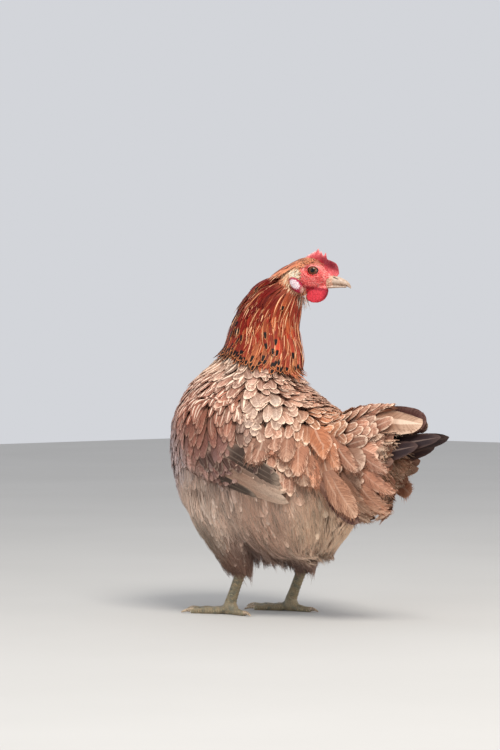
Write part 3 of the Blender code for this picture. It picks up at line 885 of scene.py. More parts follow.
def set_inputs(made, inputs):
    """Sets a node's inputs, by name or number, to constants, or joins them to other nodes."""
    for key, value in inputs.items():
        if isinstance(value, bpy.types.NodeSocket):
            made.id_data.links.new(value, made.inputs[key])
        elif made.inputs[key].type == "RGBA":
            made.inputs[key].default_value = (*value, 1.0)
        else:
            made.inputs[key].default_value = value


def node(tree, kind, inputs=None, **settings):
    """A shader node with its inputs and its settings."""
    made = tree.nodes.new("ShaderNode" + kind)
    for key, value in settings.items():
        setattr(made, key, value)
    set_inputs(made, inputs or {})
    return made


def new_material(name):
    material = bpy.data.materials.new(name)
    material.use_nodes = True
    return material, material.node_tree, material.node_tree.nodes["Principled BSDF"]


def stored(tree, name):
    return node(tree, "Attribute", attribute_name=name).outputs


def object_place(tree):
    return node(tree, "TexCoord").outputs["Object"]


def maths(operation, a, b=0.0):
    return node(a.id_data, "Math", {0: a, 1: b}, operation=operation).outputs[0]


def times(a, b):
    return maths("MULTIPLY", a, b)


def plus(a, b):
    return maths("ADD", a, b)


def joined(x, y, z=0.0):
    return node(x.id_data, "CombineXYZ", {0: x, 1: y, 2: z}).outputs[0]


def ramp(value, low, high, to_low=0.0, to_high=1.0):
    """A smooth rise of a value between two of its levels."""
    levels = {0: value, 1: low, 2: high, 3: to_low, 4: to_high}
    return node(value.id_data, "MapRange", levels, interpolation_type="SMOOTHSTEP").outputs[0]


def blend(factor, a, b, mode="MIX"):
    tree = next(v.id_data for v in (factor, a, b) if isinstance(v, bpy.types.NodeSocket))
    return node(tree, "Mix", {0: factor, 6: a, 7: b}, data_type="RGBA", blend_type=mode).outputs[2]


def noise(place, scale, detail, distortion=0.0):
    inputs = {"Vector": place, "Scale": scale, "Detail": detail, "Distortion": distortion}
    return node(place.id_data, "TexNoise", inputs).outputs[0]


def emboss(shader, height, strength, distance):
    bump = node(height.id_data, "Bump", {"Height": height, "Strength": strength, "Distance": distance})
    set_inputs(shader, {"Normal": bump.outputs[0]})


def plumage_material(name, shaft, lace, mark, pepper, down, barb_rows, streaks=0.4, overlap_shade=0.7,
                     roughness=0.7, gloss=0.22):
    """The finish of a feather. Its ground colour comes with the mesh. Fine barbs run out from the
    shaft and vary it. The marks' four numbers say how strong and wide the pale shaft streak is,
    how strong the pale edge, the dark mark near the tip and the peppering. A feather is darkened
    by overlap_shade towards its root, a painted shade where its neighbours lie over it, and its
    root takes the down colour, partly the downy base's own grey and partly painted shade."""
    material, tree, shader = new_material(name)
    vane = node(tree, "UVMap", uv_map="Vane").outputs[0]
    x, along, _ = node(tree, "SeparateXYZ", {0: vane}).outputs
    across = maths("ABSOLUTE", plus(times(x, 2.0), -1.0))
    ground, marks = stored(tree, "ground"), stored(tree, "marks")
    streak, edging, spotting = node(tree, "SeparateColor", {0: marks["Color"]}).outputs
    seed = times(ground["Alpha"], 57.0)
    rows = times(plus(along, times(across, -0.1)), barb_rows)
    barbs = noise(joined(plus(times(x, 1.6), seed), rows, seed), 1.0, 3.0)
    patches = noise(joined(times(across, 1.2), times(along, 3.0), seed), 1.6, 2.0)
    colour = blend(ramp(barbs, 0.62, 0.35, 0.0, streaks), ground["Color"], (0.42, 0.32, 0.28), "MULTIPLY")
    colour = blend(ramp(patches, 0.48, 0.72, 0.0, 0.3), colour, (1.18, 1.28, 1.36), "MULTIPLY")
    # Painted shade: darker from the tip towards the root, where the next feathers lie over this one.
    colour = blend(ramp(along, 0.95, 0.52, 0.0, overlap_shade), colour, (0.5, 0.36, 0.3), "MULTIPLY")
    specks = noise(object_place(tree), 620.0, 2.0)
    colour = blend(times(ramp(specks, 0.5, 0.6), marks["Alpha"]), colour, pepper)
    edge = maths("MAXIMUM", ramp(across, 0.62, 0.98), ramp(along, 0.88, 0.985))
    edge = times(times(edge, ramp(along, 0.45, 0.65)), ramp(barbs, 0.3, 0.5, 0.2, 1.0))
    colour = blend(times(edge, edging), colour, lace)
    spot = times(ramp(along, 0.77, 0.82), ramp(along, 0.95, 0.985, 1.0, 0.0))
    spot = times(spot, ramp(plus(across, times(patches, 0.5)), 0.85, 1.1, 1.0, 0.0))
    colour = blend(times(spot, spotting), colour, mark)
    wide = times(plus(times(streak, 0.26), 0.05), ramp(along, 0.7, 1.05, 1.0, 0.35))
    line = times(ramp(maths("DIVIDE", across, wide), 0.7, 1.35, 1.0, 0.0), ramp(along, 0.93, 1.0, 1.0, 0.0))
    colour = blend(times(line, streak), colour, shaft)
    # The root takes the down colour: the downy base's own grey, darker as painted shade under the feathers
    # above.
    colour = blend(ramp(along, 0.16, 0.42, 0.75, 0.0), colour, down)
    set_inputs(shader, {"Base Color": colour, "Roughness": roughness, "Specular IOR Level": gloss,
                        "Sheen Weight": 0.02, "Sheen Roughness": 0.45})
    emboss(shader, barbs, 0.5, 0.0005)
    return material


# ---- contour feathers of the body
# The breast, cape and shoulders carry broad rounded feathers that hang straight down her side, each
# with a cream streak along its shaft. On the back they are smaller, laced with cream and peppered
# with brown.
VANED_DOWN_TO = mm(  # the lowest tips of vaned feathers: how far back, and how high
    (-95, 108), (-70, 130), (-33, 154), (12, 143), (30, 143), (45, 153),
    (60, 164), (95, 180), (130, 150),
)


def xyz(point):
    """The three coordinates of many points, each as an array."""
    return np.moveaxis(point, -1, 0)


def drawn_to(start, goal, share):
    """Colours or ways, moved towards others by a share."""
    return start + (np.asarray(goal) - start) * share


def vane_limit(point):
    return np.interp(point[..., 1], *VANED_DOWN_TO.T)


def downhill(normal):
    """The steepest way down over a surface."""
    return unit(np.array((0, 0, -1.0)) + normal * normal[..., 2:3])


def contour_lie(point, along, normal):
    """Down the neck's slope on the cape, then straight down her sides."""
    x, _, z = xyz(point)
    side = (smooth(0.246, 0.212, z) * smooth(0.025, 0.055, np.abs(x)))[:, None] * 0.85
    return drawn_to(unit(along), downhill(normal), side)


def front(point):
    """1 before the line where the scapulars of the back begin, 0 behind it."""
    _, y, z = xyz(point)
    return smooth(0.065, 0.058, y + 0.8 * np.clip(z - 0.2, 0, 1))


def cape_region(point, normal):
    _, y, z = xyz(point)
    top = smooth(0.02, 0.012, z - np.interp(y, (-0.06, -0.03, 0.01, 0.05), (0.27, 0.272, 0.262, 0.258)))
    return smooth(0.21, 0.22, z + 0.2 * y) * top * front(point)


def shoulder_region(point, normal):
    _, y, z = xyz(point)
    return smooth(0.004, 0.012, z - vane_limit(point)) * smooth(0.222, 0.214, z + 0.2 * y) * front(point)


def back_region(point, normal):
    _, y, z = xyz(point)
    behind = 1 - front(point - np.array((0, 0.009, 0)) * smooth(0.245, 0.225, z)[..., None])
    return behind * smooth(0.172, 0.182, z) * smooth(0.165, 0.15, y)


def back_gap(point):
    """5 mm apart along the back's ridge and 11 mm lower down."""
    x, y, _ = xyz(point)
    return 0.0108 - 0.0058 * np.exp(-((x / 0.026) ** 2)) * smooth(0.15, 0.12, y)


def back_lie(point, along, normal):
    """Along the ridge towards the tail, and more and more downhill away from it."""
    x, y, _ = xyz(point)
    side = (smooth(0.008, 0.045, np.abs(x)) * smooth(0.165, 0.11, y))[:, None] * 0.8
    return drawn_to(unit(along), downhill(normal), side)


def under_rim(point):
    """The height of the first feathers that show below the hackle."""
    return np.interp(point[:, 1] - point[:, 0], (-0.05, -0.013, 0.04), (0.265, 0.251, 0.249))


contour_finish = plumage_material(
    "contour_plumage", shaft=(0.97, 0.74, 0.57), lace=(1.0, 0.74, 0.55), mark=(0.02, 0.01, 0.008),
    pepper=(0.17, 0.08, 0.055), down=(0.26, 0.13, 0.085), barb_rows=46.0, streaks=0.5)
rng = np.random.default_rng(11)
t = stations(12, 1.8)
for name, region, gap, wide, streak in (
    ("cape", cape_region, 0.0078, 0.0044, 0.85),
    ("shoulder", shoulder_region, 0.0098, 0.0058, 0.22),
):
    u, v = spread(coat, gap, region, rng, u_range=(0.14, 0.7))
    size = np.exp(rng.normal(0, 0.1, len(u)))
    paths = shortened(lambda length: cling(
        coat, u, v, contour_lie, length, wide * size, t, rounded(0.35, 2.4), np.random.default_rng(12),
        depth=0.0085, rise=0.0004, yaw=0.08, bend=0.2, fray=0.12), gap * 3.9 * size, vane_limit)
    tips = paths["middle"][:, -3]
    ground = vary(plumage(tips), rng, 0.16, 0.04)
    marks = (
        np.clip(streak + 0.22 * rng.random(len(u)), 0, 1) * smooth(0.19, 0.238, tips[:, 2] + 0.02 * streak),
        0.3 * rng.random(len(u)),
        smooth(0.007, 0.004, np.abs(tips[:, 2] - under_rim(tips))) * (rng.random(len(u)) < 0.5),
        0.25 + 0.3 * rng.random(len(u)),
    )
    fringed((name + "_feathers", name + "_barbs"), paths, t, rng, (10, 0.005, 0.00032, 0.6), ground,
            contour_finish, marks)

rng = np.random.default_rng(13)
u, v = spread(coat, back_gap, back_region, rng, u_range=(0.2, 0.9))
size = back_gap(coat(u, v)) * np.exp(rng.normal(0, 0.1, len(u)))
paths = cling(coat, u, v, back_lie, size * 3.6, size * 0.6, t, rounded(0.35, 3.0), rng,
              depth=0.0085, rise=0.0008, yaw=0.2, bend=0.3, fray=0.1)
ground = vary(plumage(paths["middle"][:, -3]), rng, 0.16, 0.04)
ridge = smooth(0.0075, 0.0055, size)
marks = (
    0.1 + 0.2 * rng.random(len(u)) + 0.55 * ridge * rng.random(len(u)),
    (0.55 + 0.45 * rng.random(len(u))) * (1 - 0.2 * ridge),
    0,
    0.3 + 0.6 * ridge + 0.1 * rng.random(len(u)),
)
fringed(("back_feathers", "back_barbs"), paths, t, rng, (7, 0.0044, 0.0003, 0.65), ground,
        contour_finish, marks)


# ---- flight feathers of the wings
# The folded wing tucks its long stiff quills under each other, so that only their outer vanes
# show below the coverts, ending in a blunt point on the flank. The lowest quill and the upper ones
# are painted dark as shade. A row of short coverts, painted dark as the shade under the shoulder
# feathers, hides their roots.
def nearest(surface, targets):
    """The u and v of the surface's grid points that lie nearest to some targets."""
    grid = np.meshgrid(np.linspace(0.15, 0.9, 220), np.linspace(0, 1, 220, endpoint=False), indexing="ij")
    cloud = surface(*grid).reshape(-1, 3)
    pick = np.array([((cloud - target) ** 2).sum(1).argmin() for target in targets])
    return grid[0].ravel()[pick], grid[1].ravel()[pick]


def towards(goal):
    """A lie that runs from a feather's root to its own goal."""
    def lie(point, along, normal):
        return goal - point
    return lie


FLIGHTS = 7
rng = np.random.default_rng(21)
t_long = stations(14, 1.3)
batches, covert_batches, colours, covert_colours = [], [], [], []
for side in (1, -1):
    i = np.arange(FLIGHTS)
    roots = np.stack((side * (0.08 + 0 * i), -0.006 + 0.004 * i, 0.158 + 0.0048 * i), 1)
    rise = 0.0955 + 0.0048 * i + 0.0035 * (i == 0)
    goals = np.stack((side * (0.045 + 0.001 * i), 0.145 - 0.002 * i, rise), 1)
    u, v = nearest(coat, roots)
    batches.append(cling(
        coat, u, v, towards(goals), 0.125 - 0.0055 * i - 0.04 * (i == 0), 0.0088, t_long, rounded(0.3, 2.2),
        rng, depth=0.003, rise=0.0002 + 0.00035 * i, lift=0.0002, yaw=0.01, bend=0.02, fray=0.1, roll=0.02,
        slant=0.7))
    # Painted shade: the lowest quill is darkened as the shadow line under the wing's edge, and the upper
    # ones as the shade that the drape casts on them.
    tone = np.array((0.52, 0.36, 0.265)) * (1 - 0.85 * (smooth(3.0, 5.0, i) + (i == 0))[:, None])
    colours.append(tone + 0 * roots)
    k = np.arange(13)
    roots = np.stack((side * (0.08 + 0 * k), -0.004 + 0.0065 * k, 0.176 - 0.0006 * k), 1)
    goals = roots + np.array((-side * 0.002, 0.05, -0.05)) * 3
    u, v = nearest(coat, roots)
    covert_batches.append(cling(
        coat, u, v, towards(goals), 0.027, 0.0058, t_long, rounded(0.35, 2.2), rng,
        depth=0.0045, rise=0.0012, lift=0.001, yaw=0.15, bend=0.2, fray=0.5, roll=0.1))
    # The coverts are painted near black as the shade under the shoulder feathers.
    covert_colours.append(np.array((0.1, 0.048, 0.036)) + 0 * roots)
quill_finish = plumage_material(
    "flight_plumage", shaft=(0.66, 0.5, 0.38), lace=(0.62, 0.46, 0.34), mark=(0.05, 0.025, 0.02),
    pepper=(0.1, 0.05, 0.035), down=(0.36, 0.24, 0.18), barb_rows=80.0, streaks=0.3, roughness=0.55)
paths = together(batches + covert_batches)
ground = vary(np.vstack(colours + covert_colours), rng, 0.08, 0.03)
marks = (0.1, 0.35, 0, 0.2)
feather_mesh("wing_flights", paths, t_long, 0.0005, VANE, ground, quill_finish, marks)


# ---- the saddle's drape
# From the rump and the shoulder blades long loose feathers hang over the wing tips and the sides of
# the tail. Their barbs part towards the ends, so their outlines are ragged.
DRAPE_ENDS = mm(  # how far back, and how high the lowest tips hang
    (56, 170), (64, 160), (78, 157), (88, 171), (102, 171), (111, 139),
    (133, 135), (148, 116), (168, 112), (182, 95), (200, 120),
)


def drape_limit(point):
    return np.interp(point[..., 1], *DRAPE_ENDS.T)


def drape_region(point, normal):
    x, y, z = xyz(point)
    side = smooth(0.02, 0.036, np.abs(x)) * smooth(0.062, 0.07, y) * smooth(0.17, 0.155, y)
    return side * smooth(0.018, 0.028, z - drape_limit(point)) * smooth(0.214, 0.2, z)


def drape_lie(point, along, normal):
    """Straight down behind the wing, then slanting back more and more towards the tail."""
    back = np.interp(point[:, 1], (0.05, 0.09, 0.13, 0.17, 0.2), (-0.15, 0.05, 0.45, 1.1, 2.0))
    return downhill(normal) + np.array((0, 1.0, 0)) * back[:, None]


rng = np.random.default_rng(31)
t = stations(16, 1.7)
u, v = spread(coat, 0.0112, drape_region, rng, u_range=(0.3, 0.9))
point = coat(u, v)
far = smooth(0.06, 0.14, point[:, 1])
length = (0.05 + 0.016 * far) * np.exp(rng.normal(0, 0.1, len(u)))
width = 0.0088 * np.exp(rng.normal(0, 0.12, len(u)))
paths = shortened(lambda length: cling(
    coat, u, v, drape_lie, length, width, t, rounded(0.4, 2.0), np.random.default_rng(32),
    depth=0.006, rise=0.0034, lift=0.0012, yaw=0.1, bend=0.2, fray=0.15, slant=0.9), length, drape_limit)
tips = paths["middle"][:, -3]
ground = vary(plumage(tips) * 1.1, rng, 0.16, 0.04)
upper = smooth(0.165, 0.205, tips[:, 2]) * (1 - far)
marks = (0.1 + 0.15 * rng.random(len(u)), 0.35 + 0.5 * upper, 0, 0.1 + 0.2 * upper)
fringed(("saddle_drape", "saddle_drape_barbs"), paths, t, rng, (60, 0.0085, 0.00037, 0.45), ground,
        contour_finish, marks)


# ---- the tail
# Six pairs of stiff quills stand like a roof on the tail's fleshy root, the upper ones black and
# the lower ones brown. Broad soft coverts lie over them from above and both sides, and looser
# brown ones hang below.
QUILLS = mm(  # root's x, y and z, tip's x, y and z, half width, degrees the vane leans out, browning
    (3, 112, 162, 6, 264, 193, 11.5, 30, 0.0),
    (7, 112, 154, 13, 240, 184, 12.5, 26, 0.0),
    (11, 114, 148, 20, 214, 168, 11.5, 24, 0.5),
    (11, 116, 146, 22, 210, 160, 10.5, 24, 0.9),
    (13, 118, 139, 22, 184, 147, 10, 20, 1.3),
    (15, 120, 132, 24, 168, 133, 9.5, 18, 1.3),
    plain=2,
)
LONG_COVERTS = mm(  # the same, for the large coverts on top of the tail
    (3, 130, 204, 0.5, 240, 206.5, 15.5, 20, 1.0),
    (12, 140, 204, 4, 238, 204.5, 14, 28, 0.0),
    (13, 128, 194, 16, 196, 193, 10.5, 30, 0.1),
    plain=2,
)


def from_table(table, sides, rng, t, shape, **ways):
    """Stiff feathers from the rows of a table, for one side or both, and each one's browning."""
    number = np.arange(len(table))
    lean = np.radians(table[:, 7])
    batches = []
    for side in sides:
        root, tip = table[:, 0:3] * (side, 1, 1), table[:, 3:6] * (side, 1, 1)
        up = np.stack((side * np.cos(lean), 0 * lean, np.sin(lean)), 1)
        place = np.stack((0.8 + 0.01 * number, 0.5 - side * (0.02 + 0.03 * number)), 1)
        length = np.linalg.norm(tip - root, axis=1)
        batches.append(stand(place, root, tip - root, up, length, table[:, 6], t, shape, rng, **ways))
    return together(batches), np.tile(table[:, 8:9], (len(sides), 1))


rng = np.random.default_rng(41)
paths, share = from_table(QUILLS, (1, -1), rng, t_long, rounded(0.5, 1.9), sag=0.003, cup=0.1, fray=0.12,
                          arch=0.002)
ground = vary(drawn_to((0.034, 0.018, 0.019), (0.33, 0.185, 0.125), share), rng, 0.12, 0.04)
tail_finish = plumage_material(
    "tail_plumage", shaft=(0.6, 0.42, 0.34), lace=(0.34, 0.2, 0.15), mark=(0.02, 0.01, 0.01),
    pepper=(0.02, 0.01, 0.01), down=(0.2, 0.11, 0.08), barb_rows=110.0, streaks=0.25, roughness=0.45)
marks = (0.22, 0.15, 0, 0)
feather_mesh("tail_quills", paths, t_long, 0.0006, VANE, ground, tail_finish, marks)

TAIL_PART = (0.6, 0.97)  # the stretch of the body's form that is the tail
TAIL_ENDS = mm(  # how high, and how far back the tips of the other tail feathers reach
    (104, 118), (112, 134), (120, 154), (132, 168), (147, 180), (160, 184), (172, 198),
    (182, 200), (190, 180), (216, 172),
)


def covert_region(point, normal):
    _, y, z = xyz(point)
    return smooth(0.128, 0.14, y) * smooth(0.212, 0.196, y) * smooth(0.128, 0.142, z)


def under_region(point, normal):
    _, y, z = xyz(point)
    low = smooth(0.155, 0.13, z - 0.35 * (y - 0.13)) * smooth(0.112, 0.118, z)
    return smooth(0.118, 0.135, y) * smooth(0.2, 0.186, y) * low


def set_stiff(u, v, droop, length, width, rng, t, shape, **ways):
    """Feathers rooted on the tail: they lean back along its slope, turned down by droop, and are
    shortened to end inside its outline."""
    point, along, _, normal = measure(body, u, v)
    way = unit(unit(along) + downhill(normal) * droop[:, None] + rng.normal(0, 0.06, point.shape))
    way[:, 0] = np.clip(way[:, 0], -0.22, 0.22)
    way[:, 2] = np.minimum(way[:, 2], 0.08)
    tip = point + way * length[:, None]
    end = np.interp(tip[:, 2], *TAIL_ENDS.T)
    reach = np.clip(length, 0.01, (end - point[:, 1]) / np.maximum(way[:, 1], 0.25))
    up = unit(normal + rng.normal(0, 0.08, point.shape))
    return stand(np.stack((u, v), 1), point - normal * 0.006, unit(way + normal * 0.1), up, reach, width, t,
                 shape, rng, **ways)


u, v = spread(body, 0.0105, covert_region, rng, u_range=TAIL_PART)
point = body(u, v)
high = smooth(0.15, 0.215, point[:, 2])
length = (0.05 + 0.006 * high) * np.exp(rng.normal(0, 0.1, len(u)))
width = 0.0088 * np.exp(rng.normal(0, 0.1, len(u)))
paths = set_stiff(u, v, 0.85 * (1 - high) + 0.05, length, width, rng, t, rounded(0.45, 2.4), sag=0.004,
                  arch=0.0006, slant=0.8)
ground = vary(plumage(paths["middle"][:, -3]), rng, 0.14, 0.04)
marks = (0.1 + 0.15 * rng.random(len(u)), 0.35 + 0.4 * rng.random(len(u)), 0, 0.1)
fringed(("tail_coverts", "tail_covert_barbs"), paths, t, rng, (30, 0.007, 0.00038, 0.45), ground,
        contour_finish, marks)

paths, share = from_table(LONG_COVERTS, (1, -1), rng, t, rounded(0.5, 3.0), sag=0.002, cup=0.14, fray=0.1,
                          arch=0.0025)
ground = vary(drawn_to((0.58, 0.375, 0.26), (0.12, 0.045, 0.04), share), rng, 0.06, 0.03)
marks = (0.6 - 0.5 * share[:, 0], 0.35 - 0.3 * share[:, 0], 0, 0.1)
fringed(("long_coverts", "long_covert_barbs"), paths, t, rng, (60, 0.004, 0.0003, 0.3), ground,
        contour_finish, marks)

u, v = spread(body, 0.0098, under_region, rng, u_range=TAIL_PART)
length = 0.044 * np.exp(rng.normal(0, 0.14, len(u)))
paths = set_stiff(u, v, np.full(len(u), 0.25), length, 0.0075, rng, t, rounded(0.4, 2.0),
                  sag=0.006, arch=0.001, fray=0.2, cup=0.1, splay=rng.normal(0, 0.003, len(u)), slant=0.9)
ground = vary(plumage(paths["middle"][:, -3]) * 0.9, rng, 0.18, 0.05)
marks = (0.2 * rng.random(len(u)), 0.35 * rng.random(len(u)), 0, 0.15)
fringed(("under_tail_feathers", "under_tail_barbs"), paths, t, rng, (36, 0.0065, 0.00038, 0.35), ground,
        contour_finish, marks)

LAST_LOBE = mm(  # the same, for the lowest feathers, that hang beside the vent on her left
    (34, 122, 144, 42, 187, 106, 10.5, 8, 1.0),
    (31, 133, 158, 44, 186, 111.5, 11, 12, 0.0),
    (30, 124, 160, 43, 173, 115, 10.5, 10, 0.1),
    plain=2,
)
paths, share = from_table(LAST_LOBE, (1,), rng, t, rounded(0.5, 2.4), sag=0.002, cup=0.14, fray=0.12,
                          arch=0.004, slant=0.9)
ground = vary(drawn_to((0.72, 0.43, 0.28), (0.1, 0.03, 0.026), share), rng, 0.06, 0.03)
fringed(("last_lobe", "last_lobe_barbs"), paths, t, rng, (130, 0.007, 0.00035, 0.3), ground,
        contour_finish, (0.15, 0.15, 0.15, 0.15))

# Soft plumes grow from the blunt end of the fleshy root and fill the space under the quills.
VENT_ENDS = mm(  # how high, and how far back the plumes reach
    (100, 120), (107, 138), (120, 174), (137, 192), (156, 212), (200, 226),
)
count = 190
end = through(BODY_ROWS, np.full(count, TAIL_ROOT))
turn, out = rng.uniform(0, 2 * math.pi, count)[:, None], 0.95 * rng.random((count, 1)) ** 0.5
outward = end[:, 3:6] * np.cos(turn) + end[:, 6:9] * np.sin(turn)
point = end[:, 0:3] + outward * out * 0.75
way = unit(np.array((0, 1.0, -0.1)) + unit(outward) * out * 0.2 + rng.normal(0, 0.06, point.shape))
limit = np.interp(point[:, 2], *VENT_ENDS.T) - np.abs(point[:, 0]) * 0.5 - point[:, 1]
length = np.clip(rng.uniform(0.036, 0.056, count), 0.014, np.maximum(limit, 0.016))
root = np.hstack((0 * turn + 0.84, turn / (2 * math.pi)))
paths = stand(root, point - way * 0.004, way, unit(outward), length, 0.005, t, rounded(0.4, 1.8), rng,
              sag=0.003, fray=0.6, cup=0.2, slant=1.0)
ground = vary(np.array((0.8, 0.54, 0.38)) + 0 * point, rng, 0.2, 0.04)
fringed(("vent_plumes", "vent_barbs"), paths, t, rng, (24, 0.008, 0.0004, 0.35), ground,
        contour_finish, (0.1, 0.1, 0.1, 0.1), LEAF)


# ---- fluff of the belly and thighs
# Below, the feathers have no stiff vane. Soft loose barbs hang in overlapping locks: a layer of
# frayed plumes next to the skin, and over it locks of fine strands that run together at their tips.
FLUFF_HEM = 0.062  # the height of the fluff's lowest fringe


def fluff_region(lowest, highest, side):
    """The fluff of one side between two heights on the belly's slope, or of both with side 0."""
    def keep(point, normal):
        x, y, z = xyz(point)
        under_vanes = smooth(0.03, 0.014, z - vane_limit(point)) * smooth(0.14, 0.128, y)
        facing = -normal[..., 2] - 0.35 * smooth(-0.04, -0.08, y)
        level = (facing >= lowest) & (facing < highest) & (side * x >= 0)
        return under_vanes * smooth(0.17, 0.16, z) * level
    return keep


def fluff_lie(point, along, normal):
    """Downhill, and under the belly back towards the tail."""
    under = smooth(-0.75, -0.98, normal[:, 2])[:, None]
    return downhill(normal) * (1 - under) + unit(along) * (0.15 + under)


def thigh_region(point, normal):
    x, _, z = xyz(point)
    outside = smooth(0.055, 0.062, np.abs(x)) + smooth(0.09, 0.075, z)
    return np.clip(outside, 0, 1) * smooth(0.138, 0.128, z)


def thigh_lie(point, along, normal):
    return unit(along) + np.array((0, 0.1, 0))


def locks(surface, u, v, lie, rng, strands, length, spread_out, t, depth, rise, lift):
    """Tufts of fine strands. Their roots lie side by side over spread_out, and each strand turns in
    towards its lock's middle line, so that they meet near the tip."""
    point, along, around, normal = measure(surface, u, v)
    n = len(u)
    way = unit(lie(point, unit(along), normal))
    side = np.cross(normal, way)
    offset = rng.uniform(-1, 1, (n, strands)) * spread_out[:, None]
    back = (rng.random((n, strands)) - 0.5) * spread_out[:, None]
    step = side[:, None] * offset[..., None] + way[:, None] * back[..., None]
    many = [np.repeat(a, strands, 0) for a in (along, around, u, v)]
    du, dv = steps_along(many[0], many[1], step.reshape(-1, 3))
    size = np.repeat(length * np.exp(rng.normal(0, 0.12, n)), strands) * rng.uniform(0.7, 1.1, n * strands)
    turn = np.repeat(rng.normal(0, 0.14, n), strands) - offset.ravel() * 0.8 / size
    height = np.repeat(rise * rng.uniform(0.2, 1.8, n), strands)
    paths = cling(surface, many[2] + du, many[3] + dv, lie, size, 0.00032, t, pointed(0.3, 1.6), rng,
                  depth=depth, rise=height, lift=np.repeat(lift, strands), yaw=0.06, bend=0.14, fray=0.0,
                  roll=0.0, slant=0.0, aim=turn)
    paths["root"] = np.stack(many[2:], 1)
    return paths


fluff_finish = plumage_material(
    "fluff_plumage", shaft=(0.8, 0.66, 0.54), lace=(0.78, 0.62, 0.49), mark=(0.05, 0.03, 0.02),
    pepper=(0.16, 0.1, 0.07), down=(0.4, 0.27, 0.2), barb_rows=12.0, streaks=0.25, overlap_shade=0.15,
    roughness=0.85)
t_fluff = stations(10, 1.4)
t_strand = stations(6, 1.2)
STRANDS = 8  # in each lock
THIGH_HEM = 0.048
BELLY, THIGH = (0.28, 0.8), (0.02, 0.97)  # the stretches of each form that carry fluff


def tuft_size(p):
    """Tufts are smaller towards the hem."""
    return 0.55 + 0.45 * smooth(0.05, 0.09, p[..., 2])


for name, surface, keep, lie, seed, u_range, hem, gap in (
    ("belly_fluff", body, fluff_region(0.62, 1.1, 0), fluff_lie, 51, BELLY, FLUFF_HEM, 0.0092),
    ("flank_fluff_left", body, fluff_region(-0.9, 0.62, 1), fluff_lie, 54, BELLY, FLUFF_HEM, 0.0078),
    ("flank_fluff_right", body, fluff_region(-0.9, 0.62, -1), fluff_lie, 55, BELLY, FLUFF_HEM, 0.0078),
    ("thigh_fluff_left", thigh(1), thigh_region, thigh_lie, 52, THIGH, THIGH_HEM, 0.0078),
    ("thigh_fluff_right", thigh(-1), thigh_region, thigh_lie, 53, THIGH, THIGH_HEM, 0.0078),
):
    rng = np.random.default_rng(seed)
    u, v = spread(surface, lambda p: 0.009 * tuft_size(p), keep, rng, u_range=u_range)
    size = tuft_size(surface(u, v))
    paths = shortened(lambda length: cling(
        surface, u, v, lie, length, 0.0064 * size, t_fluff, rounded(0.35, 1.8), np.random.default_rng(seed),
        depth=0.007, rise=-0.0006, lift=0.0008, yaw=0.15, bend=0.25, fray=0.9, roll=0.1, slant=1.1),
        0.034 * size, lambda tip: hem + 0.004)
    ground = vary(plumage(paths["middle"][:, -3]), rng, 0.14, 0.03)
    marks = (0.2 * rng.random(len(u)), 0.3, 0, 0.05)
    feather_mesh(name + "_plumes", paths, t_fluff, 0.0004, LEAF, ground, fluff_finish, marks)
    u, v = spread(surface, lambda p: gap * tuft_size(p), keep, rng, rounds=5, u_range=u_range)
    point = surface(u, v)
    size = tuft_size(point)
    hanging = smooth(0.45, 0.9, -measure(surface, u, v)[3][:, 2])
    free = 0.0006 + 0.002 * smooth(0.085, 0.065, point[:, 2]) * (surface is body)
    ragged = np.random.default_rng(seed + 10)
    paths = shortened(lambda length: locks(
        surface, u, v, lie, np.random.default_rng(seed), STRANDS, length[::STRANDS], 0.0052 * size, t_strand,
        0.004, 0.0009 + 0.0055 * hanging, free), np.repeat(0.04 * size * (1 - 0.45 * hanging), STRANDS),
        lambda tip: hem - 0.004 + ragged.normal(0, 0.0035, len(tip)))
    # Each lock's tone varies by chance, and the hanging ones are painted a little darker as the shade under
    # the fringe.
    tone = np.repeat(np.exp(rng.normal(0, 0.16, (len(u), 1))) * (1 - 0.2 * hanging[:, None]), STRANDS, 0)
    ground = vary(plumage(paths["middle"][:, -2]) * 1.12 * tone, rng, 0.12, 0.03)
    feather_mesh(name, paths, t_strand, 0.0003, STRAND, ground, fluff_finish)


# ---- the hackle
# The neck's feathers are long, narrow and pointed, orange red with gold edges and cream shafts, and
# the lowest ones end in a black mark with a pale middle. They fall over the cape like a fringe.
HACKLE_RIM = mm(  # how far round towards the tail, from her left to her right, and how high
    (-52, 271), (-34, 265.5), (-13, 257), (3, 258), (26, 255), (44, 256),
    (60, 244), (70, 238.5), (75, 242), (82, 260),
)


def rim_height(point):
    return np.interp(point[..., 1] - point[..., 0], *HACKLE_RIM.T)


def hackle_colour(point):
    """Orange red, deepest in the upper middle, paler towards the tail side and the rim."""
    y, z = point[..., 1:2], point[..., 2:3]
    gold, deep, tailward = (0.26, 0.018, 0.008), (0.13, 0.005, 0.005), (0.42, 0.062, 0.024)
    nape, rim = (0.13, 0.02, 0.017), (0.36, 0.11, 0.065)
    colour = drawn_to(gold, deep, 0.95 * np.exp(-(((z - 0.318) / 0.022) ** 2)))
    colour = drawn_to(colour, nape, 0.6 * smooth(0.0, -0.03, y))
    colour = drawn_to(colour, tailward, 0.6 * smooth(0.01, 0.04, y))
    return drawn_to(colour, rim, 0.4 * smooth(0.276, 0.262, z))


def hackle_region(point, normal):
    return smooth(0.02, 0.026, point[..., 2] - rim_height(point))


def hackle_gap(point):
    return 0.0043 - 0.0008 * smooth(0.315, 0.345, point[..., 2])


def straight_on(point, along, normal):
    return along


def flare(point):
    """The hackle stands off the body low down on its tail side."""
    return smooth(0.03, 0.06, point[:, 1] - point[:, 0]) * smooth(0.32, 0.285, point[:, 2])


